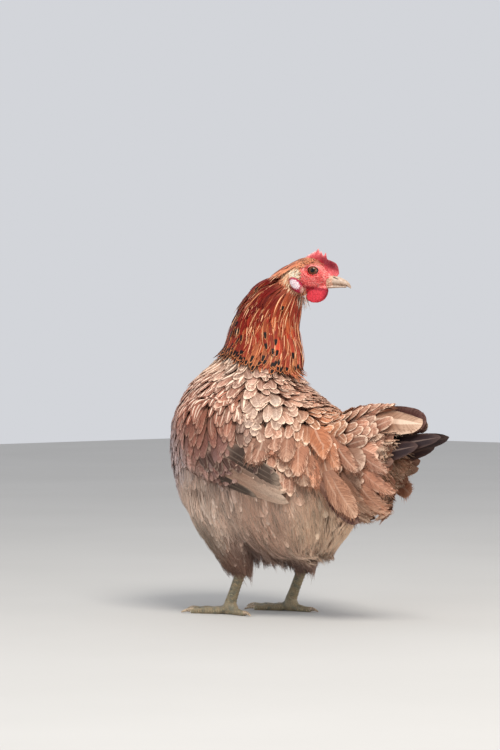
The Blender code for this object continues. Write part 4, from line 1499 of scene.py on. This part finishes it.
rng = np.random.default_rng(61)
t = stations(10, 1.5)
u, v = spread(coat, hackle_gap, hackle_region, rng, rounds=6, u_range=(0.0, 0.3))
point = coat(u, v)
top = smooth(0.3, 0.34, point[:, 2])
tail_side = flare(point)
length = (0.047 - 0.012 * top) * np.exp(rng.normal(0, 0.1, len(u)))
jitter = rng.normal(0, 0.0025, len(u))
near_rim = smooth(0.062, 0.05, point[:, 2] - rim_height(point))
normal = measure(coat, u, v)[3]
nape_side = smooth(-0.55, -0.85, normal[:, 1] - normal[:, 0]) * smooth(0.365, 0.35, point[:, 2])
marked = rng.random(len(u)) < np.clip(0.05 + 0.2 * near_rim + 0.6 * nape_side, 0, 0.7) * (1 - 0.8 * top)
height = 0.0016 - 0.002 * top + 0.0014 * marked + 0.005 * tail_side
streak_chance = 0.22 + 0.3 * smooth(-0.01, 0.03, point[:, 1])
hackle_finish = plumage_material(
    "hackle_plumage", shaft=(1.0, 0.6, 0.32), lace=(0.8, 0.33, 0.13), mark=(0.01, 0.006, 0.006),
    pepper=(0.16, 0.05, 0.03), down=(0.26, 0.06, 0.03), barb_rows=18.0, streaks=0.45, overlap_shade=0.4,
    roughness=0.5, gloss=0.1)
for name, some, wide, shape in (
    ("hackle", ~marked, 0.0024, pointed(0.5, 2.8)),
    ("hackle_marked", marked, 0.0027, rounded(0.6, 2.2)),
):
    width = wide - 0.0004 * top[some]
    paths = shortened(lambda length: cling(
        coat, u[some], v[some], straight_on, length, width, t, shape, np.random.default_rng(62),
        depth=0.006, rise=height[some], lift=0.0005, yaw=0.06, bend=0.16, fray=0.1, roll=0.1),
        length[some], lambda tip: rim_height(tip) + jitter[some])
    tips = paths["middle"][:, -2]
    count = len(tips)
    golden = rng.random((count, 1)) < 0.22 + 0.2 * smooth(0.0, 0.04, tips[:, 1:2])
    tone = np.where(golden, (1.2, 1.8, 1.4), (0.9, 0.75, 0.75))
    ground = vary(hackle_colour(tips) * tone, rng, 0.22, 0.06)
    streaked = rng.random(count) < streak_chance[some] * (1 - 0.6 * smooth(0.3, 0.32, tips[:, 2]))
    dark = marked[some]
    streak = 0.8 * streaked * rng.uniform(0.3, 1.0, count) * ~dark
    edged = np.maximum(0.6 * dark, 0.45 * (rng.random(count) < 0.4))
    marks = (streak, edged, dark, 0.05)
    feather_mesh(name, paths, t, 0.0003, VANE, ground, hackle_finish, marks)

# Over them run the bare pale shafts of the longest ones, each a fine curved line.
u, v = spread(coat, 0.0094, hackle_region, rng, rounds=4, u_range=(0.03, 0.3))
point = coat(u, v)
kept = rng.random(len(u)) > 0.85 * np.exp(-(((point[:, 2] - 0.322) / 0.014) ** 2))
kept = kept & (rng.random(len(u)) > 0.65 * smooth(0.315, 0.335, point[:, 2]))
u, v = u[kept], v[kept]
rise = 0.0022 + 0.005 * flare(point)[kept]
paths = shortened(lambda length: cling(
    coat, u, v, straight_on, length, 0.00065, t, pointed(0.5, 2.0), np.random.default_rng(64), depth=0.005,
    rise=rise, lift=0.0006, yaw=0.04, bend=0.16, fray=0.0, roll=0.1, slant=0.0),
    rng.uniform(0.026, 0.044, len(u)), lambda tip: rim_height(tip) + 0.001)
ground = vary(drawn_to((0.66, 0.2, 0.065), (0.94, 0.58, 0.35), rng.random((len(u), 1))), rng, 0.12, 0.04)
feather_mesh("hackle_lines", paths, t, 0.0004, LEAF, ground, hackle_finish)


# ---- feathers of the head
# Short pointed feathers clothe the crown, the nape and the throat, down to bristles a few
# millimetres long round the bare red face. A cream tuft covers the ear.
def lobe_distance(p):
    """How far a place on the cheek lies from the ear lobe's middle, with 1 at its rim."""
    x, z = p[..., 0] + 0.0168, p[..., 2] + 0.0155
    return np.hypot((x + 0.48 * z) / 0.0068, z / 0.0084)


def head_colour(p):
    """Orange over the crown, cream behind the ear lobe and on the ear, maroon along the midline."""
    x, y, z = p[..., 0:1], p[..., 1:2], p[..., 2:3]
    colour = drawn_to((0.56, 0.15, 0.07), (0.82, 0.32, 0.16), smooth(-0.006, 0.006, z))
    border = np.exp(-((lobe_distance(p) - 1.65) / 0.42) ** 2)[..., None]
    colour = drawn_to(colour, (0.98, 0.74, 0.48), 0.85 * border)
    ear = np.exp(-(((x + 0.0182) / 0.0082) ** 2 + ((z + 0.006) / 0.0054) ** 2) ** 2)
    colour = drawn_to(colour, (0.95, 0.84, 0.64), np.clip(1.1 * ear, 0, 0.97))
    middle = np.exp(-((y / 0.0105) ** 4)) * smooth(-0.006, -0.014, x) * smooth(-0.018, -0.008, z)
    colour = drawn_to(colour, (0.17, 0.055, 0.055), 0.85 * middle)
    return drawn_to(colour, (0.42, 0.27, 0.19), 0.8 * smooth(-0.017, -0.024, z) * smooth(-0.016, -0.009, x))


def feathered_head(point, normal):
    """All of the head but the face: the bare skin ends behind the eye, above it and at the jaw."""
    p = to_head(point)
    x, z = p[..., 0], p[..., 2]
    behind = smooth(-0.0118, -0.0132, x)
    crown = smooth(0.0095, 0.0106, z + 0.45 * np.maximum(0.003 - x, 0) - 0.9 * np.maximum(x - 0.001, 0))
    throat = smooth(-0.0185, -0.0215, z) * smooth(-0.003, -0.007, x)
    ear = smooth(1.0, 0.9, np.hypot((x + 0.0168) / 0.0066, (z + 0.0048) / 0.0046))
    return np.clip(behind + crown + throat + ear, 0, 1) * smooth(0.85, 1.0, lobe_distance(p))


def head_lie(point, along, normal):
    """Back from the bill, and on the cheeks downwards too."""
    p = to_head(point)
    way = np.stack((-np.ones(len(p)), 0 * p[:, 0], -0.35 - 1.5 * smooth(-0.01, -0.026, p[:, 0])), 1)
    return way @ HEAD_AXES


rng = np.random.default_rng(71)
t = stations(7, 1.2)


def head_gap(point):
    p = to_head(point)
    return 0.00165 + 0.0006 * smooth(-0.01, -0.026, p[..., 0])


u, v = spread(head, head_gap, feathered_head, rng, rounds=4)
p = to_head(head(u, v))
length = 0.0042 + 0.0095 * smooth(-0.006, -0.024, p[:, 0]) + 0.005 * smooth(-0.017, -0.024, p[:, 2])
length = length - 0.0055 * smooth(-0.023, -0.031, p[:, 0])
width = 0.00085 + 0.0004 * smooth(-0.01, -0.026, p[:, 0])
rise = 0.0005 + 0.0008 * smooth(-0.012, -0.026, p[:, 0])
paths = cling(head, u, v, head_lie, length, width, t, pointed(0.35, 1.8), rng, depth=0.0017, rise=rise,
              lift=0.0001, yaw=0.2, bend=0.3, roll=0.15)
tips = to_head(paths["middle"][:, -2])
ground = vary(head_colour(tips), rng, 0.28, 0.08)
marks = (0.35 * rng.random(len(u)), 0.5 * rng.random(len(u)), 0, 0.1)
head_finish = plumage_material(
    "head_plumage", shaft=(0.98, 0.72, 0.44), lace=(0.95, 0.56, 0.3), mark=(0.014, 0.009, 0.008),
    pepper=(0.16, 0.05, 0.03), down=(0.58, 0.2, 0.1), barb_rows=14.0, overlap_shade=0.25)
feather_mesh("head_feathers", paths, t, 0.00025, VANE, ground, head_finish, marks)

# Longer ones run from the back of the crown down over the roots of the hackle.
u, v = rng.uniform(0.03, 0.36, 130), rng.uniform(-0.13, 0.13, 130)
point, _, _, normal = measure(head, u, v)
way = np.stack((0 * u - 1, 0.8 * np.sin(2 * math.pi * v), 0 * u - 0.62), 1)
way = way + rng.normal(0, 0.05, point.shape)
ground = vary(head_colour(to_head(point)) * (1, 0.9, 0.9), rng, 0.28, 0.08)
length = rng.uniform(0.016, 0.026, len(u))
paths = stand(np.stack((u, v % 1), 1), point - normal * 0.0008, way @ HEAD_AXES, normal, length, 0.0012, t,
              pointed(0.35, 1.8), rng, sag=0.001, arch=0.0014, cup=0.3)
marks = (0.35 * rng.random(len(u)), 0.5 * rng.random(len(u)), 0, 0.1)
feather_mesh("nape_plumes", paths, t, 0.00025, VANE, ground, head_finish, marks)


def throat_region(point, normal):
    p = to_head(point)
    x, z = p[..., 0], p[..., 2]
    return smooth(-0.0205, -0.0225, z) * smooth(-0.019, -0.016, x) * smooth(-0.0075, -0.0105, x)


# Loose plumes hang from the throat behind the wattles, clear of the neck.
u, v = spread(head, 0.0021, throat_region, rng, rounds=3)
point, _, _, normal = measure(head, u, v)
ahead = HEAD_AXES[0] * rng.uniform(-0.15, 0.45, (len(u), 1))
way = unit(np.array((0, 0, -1.0)) + ahead + rng.normal(0, 0.1, point.shape))
length = rng.uniform(0.01, 0.019, len(u))
up = unit(normal + HEAD_AXES[0])
paths = stand(np.stack((u, v), 1), point - normal * 0.001, way, up, length, 0.0006, t, pointed(0.3, 1.6),
              rng, splay=rng.normal(0, 0.0015, len(u)), slant=0.0)
ground = vary(drawn_to((0.24, 0.11, 0.075), (0.8, 0.58, 0.42), rng.random((len(u), 1))), rng, 0.2, 0.05)
feather_mesh("throat_plumes", paths, t, 0.0003, LEAF, ground, head_finish)


# ---- bristles of the face
# The bare skin still carries a few hair-like feathers, a millimetre or two long: reddish over the
# eye and the forehead, dark and sparse on the cheek and the lids.
def bristle_region(point, normal):
    p = to_head(point)
    x, z = p[..., 0], p[..., 2]
    eye = np.hypot(x / 0.0078, z / 0.0062)
    forehead = smooth(0.003, 0.0062, z) * smooth(0.016, 0.01, x)
    face = smooth(-0.014, -0.0125, x) * smooth(0.019, 0.014, x) * smooth(-0.0195, -0.0175, z)
    return (0.3 + 0.5 * forehead) * smooth(1.0, 1.12, eye) * face


rng = np.random.default_rng(81)
t = stations(4, 1.1)
u, v = spread(head, 0.00095, bristle_region, rng, rounds=2)
p = to_head(head(u, v))
paths = cling(head, u, v, head_lie, 0.0019 + 0.0016 * smooth(0.002, 0.008, p[:, 2]), 0.00013, t,
              pointed(0.3, 1.4), rng, depth=0.0003, rise=0.0005, lift=0.0002, yaw=0.5, bend=0.3, fray=0.0,
              roll=0.0, slant=0.0)
colour = drawn_to((0.55, 0.07, 0.06), (0.94, 0.42, 0.27), smooth(-0.002, 0.006, p[:, 2:3]))
ground = vary(colour, rng, 0.3, 0.05)
feather_mesh("face_bristles", paths, t, 0.00016, STRAND, ground, hackle_finish)


# ---- the skin's colours
# Under the plumage the skin has the plumage's ground colours, painted shade and light included.
# The face is bright red with a paler brow, the comb crimson, its points and edge pink and its top
# paler as a painted highlight, with painted shade in its middle, the wattles scarlet with a painted
# shadow at their top, the lobes white inside a magenta rim, and the legs and toes horn yellow,
# mottled with grey.
def comb_edge(x, z):
    """How far a point lies below the line of the comb's edge."""
    return np.interp(x, COMB_SECTIONS[:, 2], COMB_SECTIONS[:, 3]) - z


def comb_height(x, z):
    """How far a point lies above the line of the comb's foot."""
    return z - np.interp(x, COMB_SECTIONS[:, 0], COMB_SECTIONS[:, 1] + 0.0012, left=0.02, right=-0.012)


def skin_colour(point):
    """Each region's colour, laid over the plumage's: the face, the comb, the wattles, the ear lobes
    with the curl beside them, and the legs. The masks come from places in the head's frame."""
    p = to_head(point)
    x, y, z = p[:, 0:1], np.abs(p[:, 1:2]), p[:, 2:3]
    colour = drawn_to(plumage(point), hackle_colour(point), smooth(0.262, 0.272, point[:, 2:3]))
    in_head = smooth(0.33, 0.336, point[:, 2:3]) * smooth(-0.034, -0.03, x)
    colour = drawn_to(colour, head_colour(p), in_head)
    grain = ripple(p, 900, 3.1)[:, None] * 0.5 + ripple(p, 2100, 1.3)[:, None] * 0.5

    flesh = np.clip(0.32 + 1.1 * grain + 0.35 * smooth(-0.004, 0.006, z), 0, 1)
    flesh = drawn_to((0.92, 0.1, 0.098), (1.0, 0.46, 0.41), flesh)
    brow = 0.7 * smooth(0.0045, 0.0085, z) * smooth(0.01, 0.006, x)
    gape = smooth(0.0, 0.0014, x - 0.0128 - 1.35 * np.maximum(z + 0.0096, 0)) * smooth(-0.0178, -0.0168, z)
    flesh = drawn_to(drawn_to(flesh, (0.92, 0.36, 0.22), brow), (0.78, 0.52, 0.36), gape)
    face = smooth(-0.0135, -0.012, x) * smooth(0.0118, 0.0098, z - 0.9 * np.maximum(x - 0.001, 0))
    face = face * smooth(-0.04, -0.036, z) * smooth(0.335, 0.338, point[:, 2:3]) * smooth(0.03, 0.028, x)
    colour = drawn_to(colour, flesh, face)

    # Painted highlight: the comb's edge is paler pink, and its upper part is lighter.
    edge = smooth(0.003, 0.0004, comb_edge(x, z)) * (0.35 + 0.65 * smooth(0.012, 0.004, x))
    down = z - 0.0072 + 0.55 * (x - 0.0165)
    below = smooth(0.0, -0.005, down + 0.001) * smooth(0.012, 0.016, x)
    ruddy = np.clip(0.2 + 0.7 * grain + 0.5 * smooth(0.01, 0.017, z) + edge + 0.6 * below, 0, 1)
    ruddy = drawn_to((0.5, 0.006, 0.024), drawn_to((0.88, 0.19, 0.2), (0.92, 0.52, 0.5), edge), ruddy)
    # Painted shade: the comb's middle, low in front, is darkened to deep crimson.
    comb_shade = np.exp(-(((x - 0.0165) / 0.0108) ** 2 + (down / 0.0052) ** 2) ** 2)
    ruddy = drawn_to(ruddy, (0.2, 0.001, 0.014), 0.95 * comb_shade)
    colour = drawn_to(colour, ruddy, smooth(0.0, 0.0008, comb_height(x, z)) * smooth(0.0055, 0.0042, y))

    level = z + 0.12 * (x - 0.004)
    # Painted shadow: the wattle is darker at its top, in the crease under the jaw; it is also darker towards
    # its front edge.
    fold = np.maximum(smooth(-0.0218, -0.0196, level), smooth(0.0085, 0.0125, x - 0.1 * (z + 0.024)))
    scarlet = np.array((0.68, 0.037, 0.058)) * (1 + 0.45 * grain)
    scarlet = drawn_to(scarlet, (0.3, 0.003, 0.022), 0.75 * fold)
    wattle = smooth(-0.0168, -0.0184, level) * smooth(-0.0085, -0.007, x) * smooth(0.0165, 0.0155, x)
    colour = drawn_to(colour, scarlet, wattle * smooth(-0.04, -0.036, z))

    lobe = smooth(1.04, 0.96, lobe_distance(p)[:, None]) * smooth(0.0125, 0.014, y)
    core = np.hypot((x + 0.018 + 0.45 * (z + 0.0152)) / 0.0072, (z + 0.0146) / 0.0074)
    core = smooth(0.8, 0.55, core + 0.16 * ripple(p, 1300, 0.9)[:, None])
    colour = drawn_to(colour, drawn_to((0.45, 0.02, 0.065), (0.94, 0.82, 0.85), core), lobe)
    curl = np.exp(-(((x + 0.01) / 0.0028) ** 2 + ((z + 0.0212) / 0.0046) ** 2) ** 2)
    curl = 0.85 * curl * smooth(0.008, 0.01, y)
    colour = drawn_to(colour, np.array((0.58, 0.36, 0.28)) * (1 + 0.5 * grain), curl)

    mottle = np.clip(0.5 + 0.9 * ripple(point, 420, 2.2)[:, None], 0, 1)
    shin = drawn_to((0.4, 0.315, 0.185), (0.2, 0.19, 0.135), mottle)
    return np.clip(drawn_to(colour, shin, smooth(0.054, 0.047, point[:, 2:3])), 0.003, 1)


points = positions(skin)
colour = skin_colour(points)
bare = smooth(0.335, 0.338, points[:, 2]) * smooth(-0.026, -0.02, to_head(points)[:, 0])
paint(skin, "ground", np.hstack((colour, bare[:, None])))
skin_finish, tree, shader = new_material("living_skin")
ground, place = stored(tree, "ground"), object_place(tree)
# The papillae: darker between the cells and pale pink specks over them, partly the skin's own speckle and
# partly painted shade and highlight on its bumps.
cells = node(tree, "TexVoronoi", {"Vector": place, "Scale": 900.0}, feature="F1").outputs[0]
fine = noise(place, 1400.0, 4.0)
colour = blend(ramp(cells, 0.15, 0.75, 0.0, 0.55), ground["Color"], (0.55, 0.42, 0.42), "MULTIPLY")
colour = blend(ramp(fine, 0.5, 0.72, 0.0, 0.3), colour, (1.25, 1.9, 1.9), "MULTIPLY")
# Darker lines in the creases of the bare skin, partly its deeper red and partly painted shade.
crease_colour_and_shade = maths("ABSOLUTE", plus(noise(place, 420.0, 3.0, 1.2), -0.5))
crease_colour_and_shade = times(ramp(crease_colour_and_shade, 0.0, 0.05, 0.7, 0.0), ground["Alpha"])
colour = blend(crease_colour_and_shade, colour, (0.5, 0.22, 0.28), "MULTIPLY")
set_inputs(shader, {
    "Base Color": colour, "Roughness": ramp(fine, 0.35, 0.65, 0.38, 0.55), "Specular IOR Level": 0.3,
    "Subsurface Weight": 0.12, "Subsurface Radius": (0.004, 0.0015, 0.001), "Subsurface Scale": 0.4})
emboss(shader, plus(times(cells, -0.8), times(fine, 0.5)), 0.55, 0.0005)
skin.data.materials.clear()
skin.data.materials.append(skin_finish)


# ---- the eyes
# Each eye is a ball with a bulging clear cornea, an orange-brown iris with a dark rim and a round
# black pupil, set behind the lids.
CORNEA_HALF_ANGLE = 0.8
CORNEA_BULGE = 0.00045


def eyeball(side):
    """A sphere in rings from its outer pole inwards; near the pole the radius grows by the
    cornea's bulge, which falls off as (1 - (angle / edge)^2)^2."""
    angle = np.linspace(0.03, math.pi - 0.03, 60)[:, None]
    turn = np.linspace(0, 2 * math.pi, 64, endpoint=False)[None]
    bulge = CORNEA_BULGE * np.clip(1 - (angle / CORNEA_HALF_ANGLE) ** 2, 0, 1) ** 2
    radii = np.array(EYE_RADII) - 0.00015
    x = (radii[0] + bulge) * np.sin(angle) * np.cos(turn)
    z = (radii[2] + bulge) * np.sin(angle) * np.sin(turn)
    y = side * (EYE_OUT + (radii[1] + bulge) * np.cos(angle)) + 0 * turn
    return np.stack((x, y, z), -1)


eye_finish, tree, shader = new_material("eye_gloss")
turn, out, _ = node(tree, "SeparateXYZ", {0: node(tree, "UVMap", uv_map="Iris").outputs[0]}).outputs
fibres = noise(joined(times(turn, 40.0), times(out, 4.0)), 1.0, 3.0)
iris = blend(fibres, (0.05, 0.018, 0.01), (0.2, 0.075, 0.032))
iris = blend(ramp(out, 0.56, 0.74), iris, (0.006, 0.003, 0.004))
iris = blend(ramp(out, 0.33, 0.37), (0.001, 0.001, 0.001), iris)
set_inputs(shader, {"Base Color": iris, "Roughness": 0.12, "Specular IOR Level": 0.0, "Coat Weight": 0.6,
                    "Coat Roughness": 0.02})
for side, name in ((1, "left"), (-1, "right")):
    eye = join_shells("eyeball_" + name, [from_head(eyeball(side))])
    points = to_head(positions(eye))
    out = np.hypot(points[:, 0], points[:, 2]) / EYE_RADII[0]
    out = np.where(side * (points[:, 1] - side * EYE_OUT) > 0, out, 2 - out)
    add_uv(eye, "Iris", np.stack((np.arctan2(points[:, 2], points[:, 0]) / (2 * math.pi) + 0.5, out), 1))
    eye.data.materials.append(eye_finish)
    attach(eye, "root")
    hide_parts("eye_" + name)


# ---- the bill
# Two horny sheaths over the jaws: the upper one ridged along its top, hooked over the lower at
# its tip, and pierced on each side by a slit of a nostril under a soft flap.
UPPER_BILL = mm(  # x, upper edge, lower edge, half width
    (13, -2, -15.6, 6.4),
    (15, -3.4, -15.6, 6),
    (21.5, -5.2, -15.2, 5.2),
    (28, -7.2, -15.5, 4.2),
    (33.5, -10, -16.4, 3),
    (37, -13, -18, 1.9),
    (38.8, -16.4, -19, 1),
)
LOWER_BILL = mm(
    (12, -15.2, -19.2, 5.8),
    (15, -15.2, -18.8, 5.4),
    (22, -15.3, -18.3, 4.4),
    (28.5, -15.5, -18, 3.1),
    (33.5, -16.1, -18.1, 1.7),
)
NOSTRIL = (0.0222, -0.0078)  # its middle's x and z
NOSTRIL_SLANT = math.radians(-24)


def bill_half(rows, ridge):
    """Ovals square to x, squared off low down and pinched to a ridge at the top, with the
    nostril's slit pressed in and its flap raised above it."""
    row = through(rows, np.linspace(0, 1, 90))
    turn = np.linspace(0, 2 * math.pi, 72, endpoint=False)[None]
    rise = np.cos(turn)
    half = (row[:, 1:2] - row[:, 2:3]) / 2
    pinch = 1 - ridge * 0.35 * np.clip(rise, 0, 1) ** 2
    wide = np.sign(np.sin(turn)) * np.abs(np.sin(turn)) ** 0.8 * pinch
    x = row[:, 0:1] + 0 * turn
    y = row[:, 3:4] * wide
    z = (row[:, 1:2] + row[:, 2:3]) / 2 + half * rise
    if ridge:
        a = (x - NOSTRIL[0]) * math.cos(NOSTRIL_SLANT) + (z - NOSTRIL[1]) * math.sin(NOSTRIL_SLANT)
        b = -(x - NOSTRIL[0]) * math.sin(NOSTRIL_SLANT) + (z - NOSTRIL[1]) * math.cos(NOSTRIL_SLANT)
        slit = np.exp(-((a / 0.0034) ** 4) - (b / 0.0006) ** 2)
        flap = np.exp(-((a / 0.0032) ** 4) - ((b - 0.0013) / 0.0008) ** 2)
        y = y * (1 - 0.42 * slit) + np.sign(y) * 0.00035 * flap
    growth = 0.00006 * np.sin(x * 3600) * smooth(0.022, 0.03, x)
    return domed(np.stack((x, y * (1 + growth / 0.004), z + growth), -1), 0.35)


bill_finish, tree, shader = new_material("bill_horn")
place, where = object_place(tree), stored(tree, "ground")
clouds, flecks = noise(place, 330.0, 5.0), noise(place, 900.0, 3.0)
colour = blend(ramp(clouds, 0.35, 0.7), (0.57, 0.435, 0.345), (0.4, 0.275, 0.19))
colour = blend(times(ramp(flecks, 0.42, 0.62), where["Alpha"]), colour, (0.2, 0.105, 0.055))
colour = blend(0.75, colour, where["Color"], "MULTIPLY")
set_inputs(shader, {"Base Color": colour, "Roughness": ramp(flecks, 0.3, 0.7, 0.28, 0.45)})
emboss(shader, clouds, 0.4, 0.0004)
for name, rows, ridge in (("upper", UPPER_BILL, 1.0), ("lower", LOWER_BILL, 0.0)):
    bill = join_shells("bill_sheath_" + name, [from_head(bill_half(rows, ridge))])
    x, _, z = to_head(positions(bill)).T
    edge = np.exp(-((z + 0.0155) / 0.0018) ** 2) * smooth(0.02, 0.03, x)
    ahead, above = x - NOSTRIL[0], z - NOSTRIL[1]
    # The nostril's slit is painted dark, as the shade inside it.
    slit = np.exp(-((ahead / 0.0032) ** 4) - ((above + 0.45 * ahead) / 0.0006) ** 2)[:, None]
    fleshy = smooth(0.02, 0.015, x)[:, None] * (np.array((1.0, 0.62, 0.55)) - 1)
    paint(bill, "ground", np.hstack((1 - 0.85 * slit * ridge + fleshy, edge[:, None] * 0.9)))
    bill.data.materials.append(bill_finish)
    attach(bill, "root")
    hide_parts("bill_" + name)


# ---- scales and claws
# Hard overlapping scutes cover the front of each shank and the top of each toe. Small round
# scales cover the rest. The claws are blunt curved horn.
scale_finish, tree, shader = new_material("leg_scales")
along = node(tree, "SeparateXYZ", {0: node(tree, "UVMap", uv_map="Vane").outputs[0]}).outputs[1]
mottle = noise(object_place(tree), 420.0, 4.0)
colour = blend(ramp(mottle, 0.42, 0.62), stored(tree, "ground")["Color"], (0.2, 0.185, 0.13))
colour = blend(ramp(along, 0.72, 0.95, 0.0, 0.8), colour, (0.72, 0.64, 0.5))
set_inputs(shader, {"Base Color": colour, "Roughness": ramp(mottle, 0.3, 0.7, 0.36, 0.55)})
emboss(shader, mottle, 0.3, 0.0003)


def scutes(surface, length, spacing, first, width, around, rng, t):
    """Rows of scales down a limb from its share first: at v near 0 are broad plates over its
    front or top."""
    us, vs, sizes = [], [], []
    count = max(3, int(length * (1 - first) / spacing))
    for turn, wide in zip(around, width):
        us.append((np.arange(count) + (0.5 if turn % 0.2 else 0.0)) / count * (0.96 - first) + first)
        vs.append(np.full(count, turn))
        sizes.append(np.full(count, wide))
    u, v, size = np.concatenate(us), np.concatenate(vs) % 1, np.concatenate(sizes)
    return cling(surface, u, v, straight_on, spacing * 1.65, size, t, rounded(0.2, 4.0), rng,
                 depth=0.0004, rise=0.0009, lift=0.0, yaw=0.04, bend=0.0, fray=0.0, roll=0.0, slant=0.0)


rng = np.random.default_rng(91)
t = stations(6, 1.6)
# The half widths of the scales of each row, and how far round the limb the row lies.
SHANK_ROWS = (0.0046, 0.003, 0.003, 0.0024, 0.0024, 0.0024), (0.0, 0.16, -0.16, 0.31, -0.31, 0.5)
TOE_ROWS = (0.0032, 0.0017, 0.0017), (0.0, 0.19, -0.19)
batches = []
for side in (1, -1):
    batches.append(scutes(shank(side), 0.07, 0.004, 0.34, *SHANK_ROWS, rng, t))
    for name, (_, length, _) in TOES.items():
        batches.append(scutes(toe(side, name), length, 0.0027, 0.02, *TOE_ROWS, rng, t))
paths = together(batches)
for name in ("left", "middle", "right"):
    paths[name][..., 2] = np.maximum(paths[name][..., 2], 0.0008)
count = len(paths["root"])
ground = vary(np.tile((0.44, 0.345, 0.205), (count, 1)), rng, 0.14, 0.04)
feather_mesh("leg_scutes", paths, t, 0.0005, VANE, ground, scale_finish)


def claw(side, name):
    """A curved cone from the toe's end, with a worn tip: its radius falls as (1 - t)^0.75."""
    length, way = TOES[name][2], toe_way(side, name)
    end = toe(side, name)(np.array(1.0), np.arange(4) / 4).mean(0)
    t = np.linspace(0, 1, 9)
    height = 0.0006 + 0.0009 * np.sin(math.pi * t) - 0.0021 * t**1.6
    path = end - way * 0.001 + np.outer((length + 0.001) * t, way) + np.outer(height, (0, 0, 1))
    radii = 0.0022 * (1 - t) ** 0.75 + 0.0004
    rings = rings_of(limb(path, radii), 30, 20)
    rings[..., 2] = np.maximum(rings[..., 2], 0.0001)
    return domed(rings, 0.4)


claw_finish, tree, shader = new_material("claw_horn")
grain = noise(object_place(tree), 480.0, 4.0)
set_inputs(shader, {"Base Color": blend(ramp(grain, 0.35, 0.65), (0.55, 0.42, 0.28), (0.22, 0.15, 0.1)),
                    "Roughness": 0.38})
emboss(shader, grain, 0.3, 0.0003)
for side, hand in ((1, "left"), (-1, "right")):
    for name in TOES:
        horn = join_shells(f"claw_sheath_{name}_{hand}", [claw(side, name)])
        horn.data.materials.append(claw_finish)
        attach(horn, "root")
        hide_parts(f"claw_{name}_{hand}")


# ---- floor, light and camera
# A plain pale floor, one broad soft light above the camera and an even pale surround. The camera
# stands behind her left shoulder, level with her back, three metres off.
bpy.ops.mesh.primitive_grid_add(x_subdivisions=20, y_subdivisions=20, size=8, location=(0, 0, 0))
floor = bpy.context.object
floor.name = "studio_floor"
floor_finish, tree, shader = new_material("pale_floor")
dust = noise(object_place(tree), 3.0, 4.0)
set_inputs(shader, {"Base Color": blend(dust, (0.5, 0.49, 0.47), (0.56, 0.55, 0.53)), "Roughness": 0.85})
floor.data.materials.append(floor_finish)

STAND_OFF = 3.0
CAMERA_HEIGHT = 0.2856
CAMERA_SIDEWAYS = -0.00525
VIEW_BEARING = math.radians(135)
VIEW_HEIGHT = 0.7875  # how much the frame takes in, top to bottom, at her distance
back_way = np.array((math.sin(VIEW_BEARING), -math.cos(VIEW_BEARING), 0.0))
right_way = np.array((-back_way[1], back_way[0], 0.0))
camera_data = bpy.data.cameras.new("camera")
camera = bpy.data.objects.new("camera", camera_data)
bpy.context.scene.collection.objects.link(camera)
bpy.context.scene.camera = camera
camera.location = STANCE + back_way * STAND_OFF + right_way * CAMERA_SIDEWAYS + (0, 0, CAMERA_HEIGHT)
camera.rotation_euler = (math.radians(90 - 0.7), 0, VIEW_BEARING)
camera_data.sensor_width = 36
camera_data.lens = 36 * STAND_OFF / VIEW_HEIGHT


def soft_light(name, back, right, height, size, energy, colour):
    """A square panel of light that faces her."""
    data = bpy.data.lights.new(name, "AREA")
    data.size, data.energy, data.color = size, energy, colour
    lamp = bpy.data.objects.new(name, data)
    lamp.location = STANCE + back_way * back + right_way * right + np.array((0, 0, height))
    aim = Vector(STANCE + np.array((0, 0, 0.2))) - lamp.location
    lamp.rotation_euler = aim.to_track_quat("-Z", "Y").to_euler()
    bpy.context.scene.collection.objects.link(lamp)


soft_light("key_light", 1.5, 0.5, 2.3, 1.0, 60, (1.0, 0.96, 0.9))
soft_light("fill_light", 1.6, -1.8, 0.8, 1.4, 12, (0.92, 0.96, 1.0))
soft_light("low_light", 0.7, 1.7, 0.25, 0.9, 10, (1.0, 0.93, 0.86))
world = bpy.data.worlds.new("studio")
bpy.context.scene.world = world
world.use_nodes = True
world.node_tree.nodes["Background"].inputs[0].default_value = (0.93, 0.95, 1.0, 1)
world.node_tree.nodes["Background"].inputs[1].default_value = 0.7
bpy.context.scene.view_settings.view_transform = "Standard"
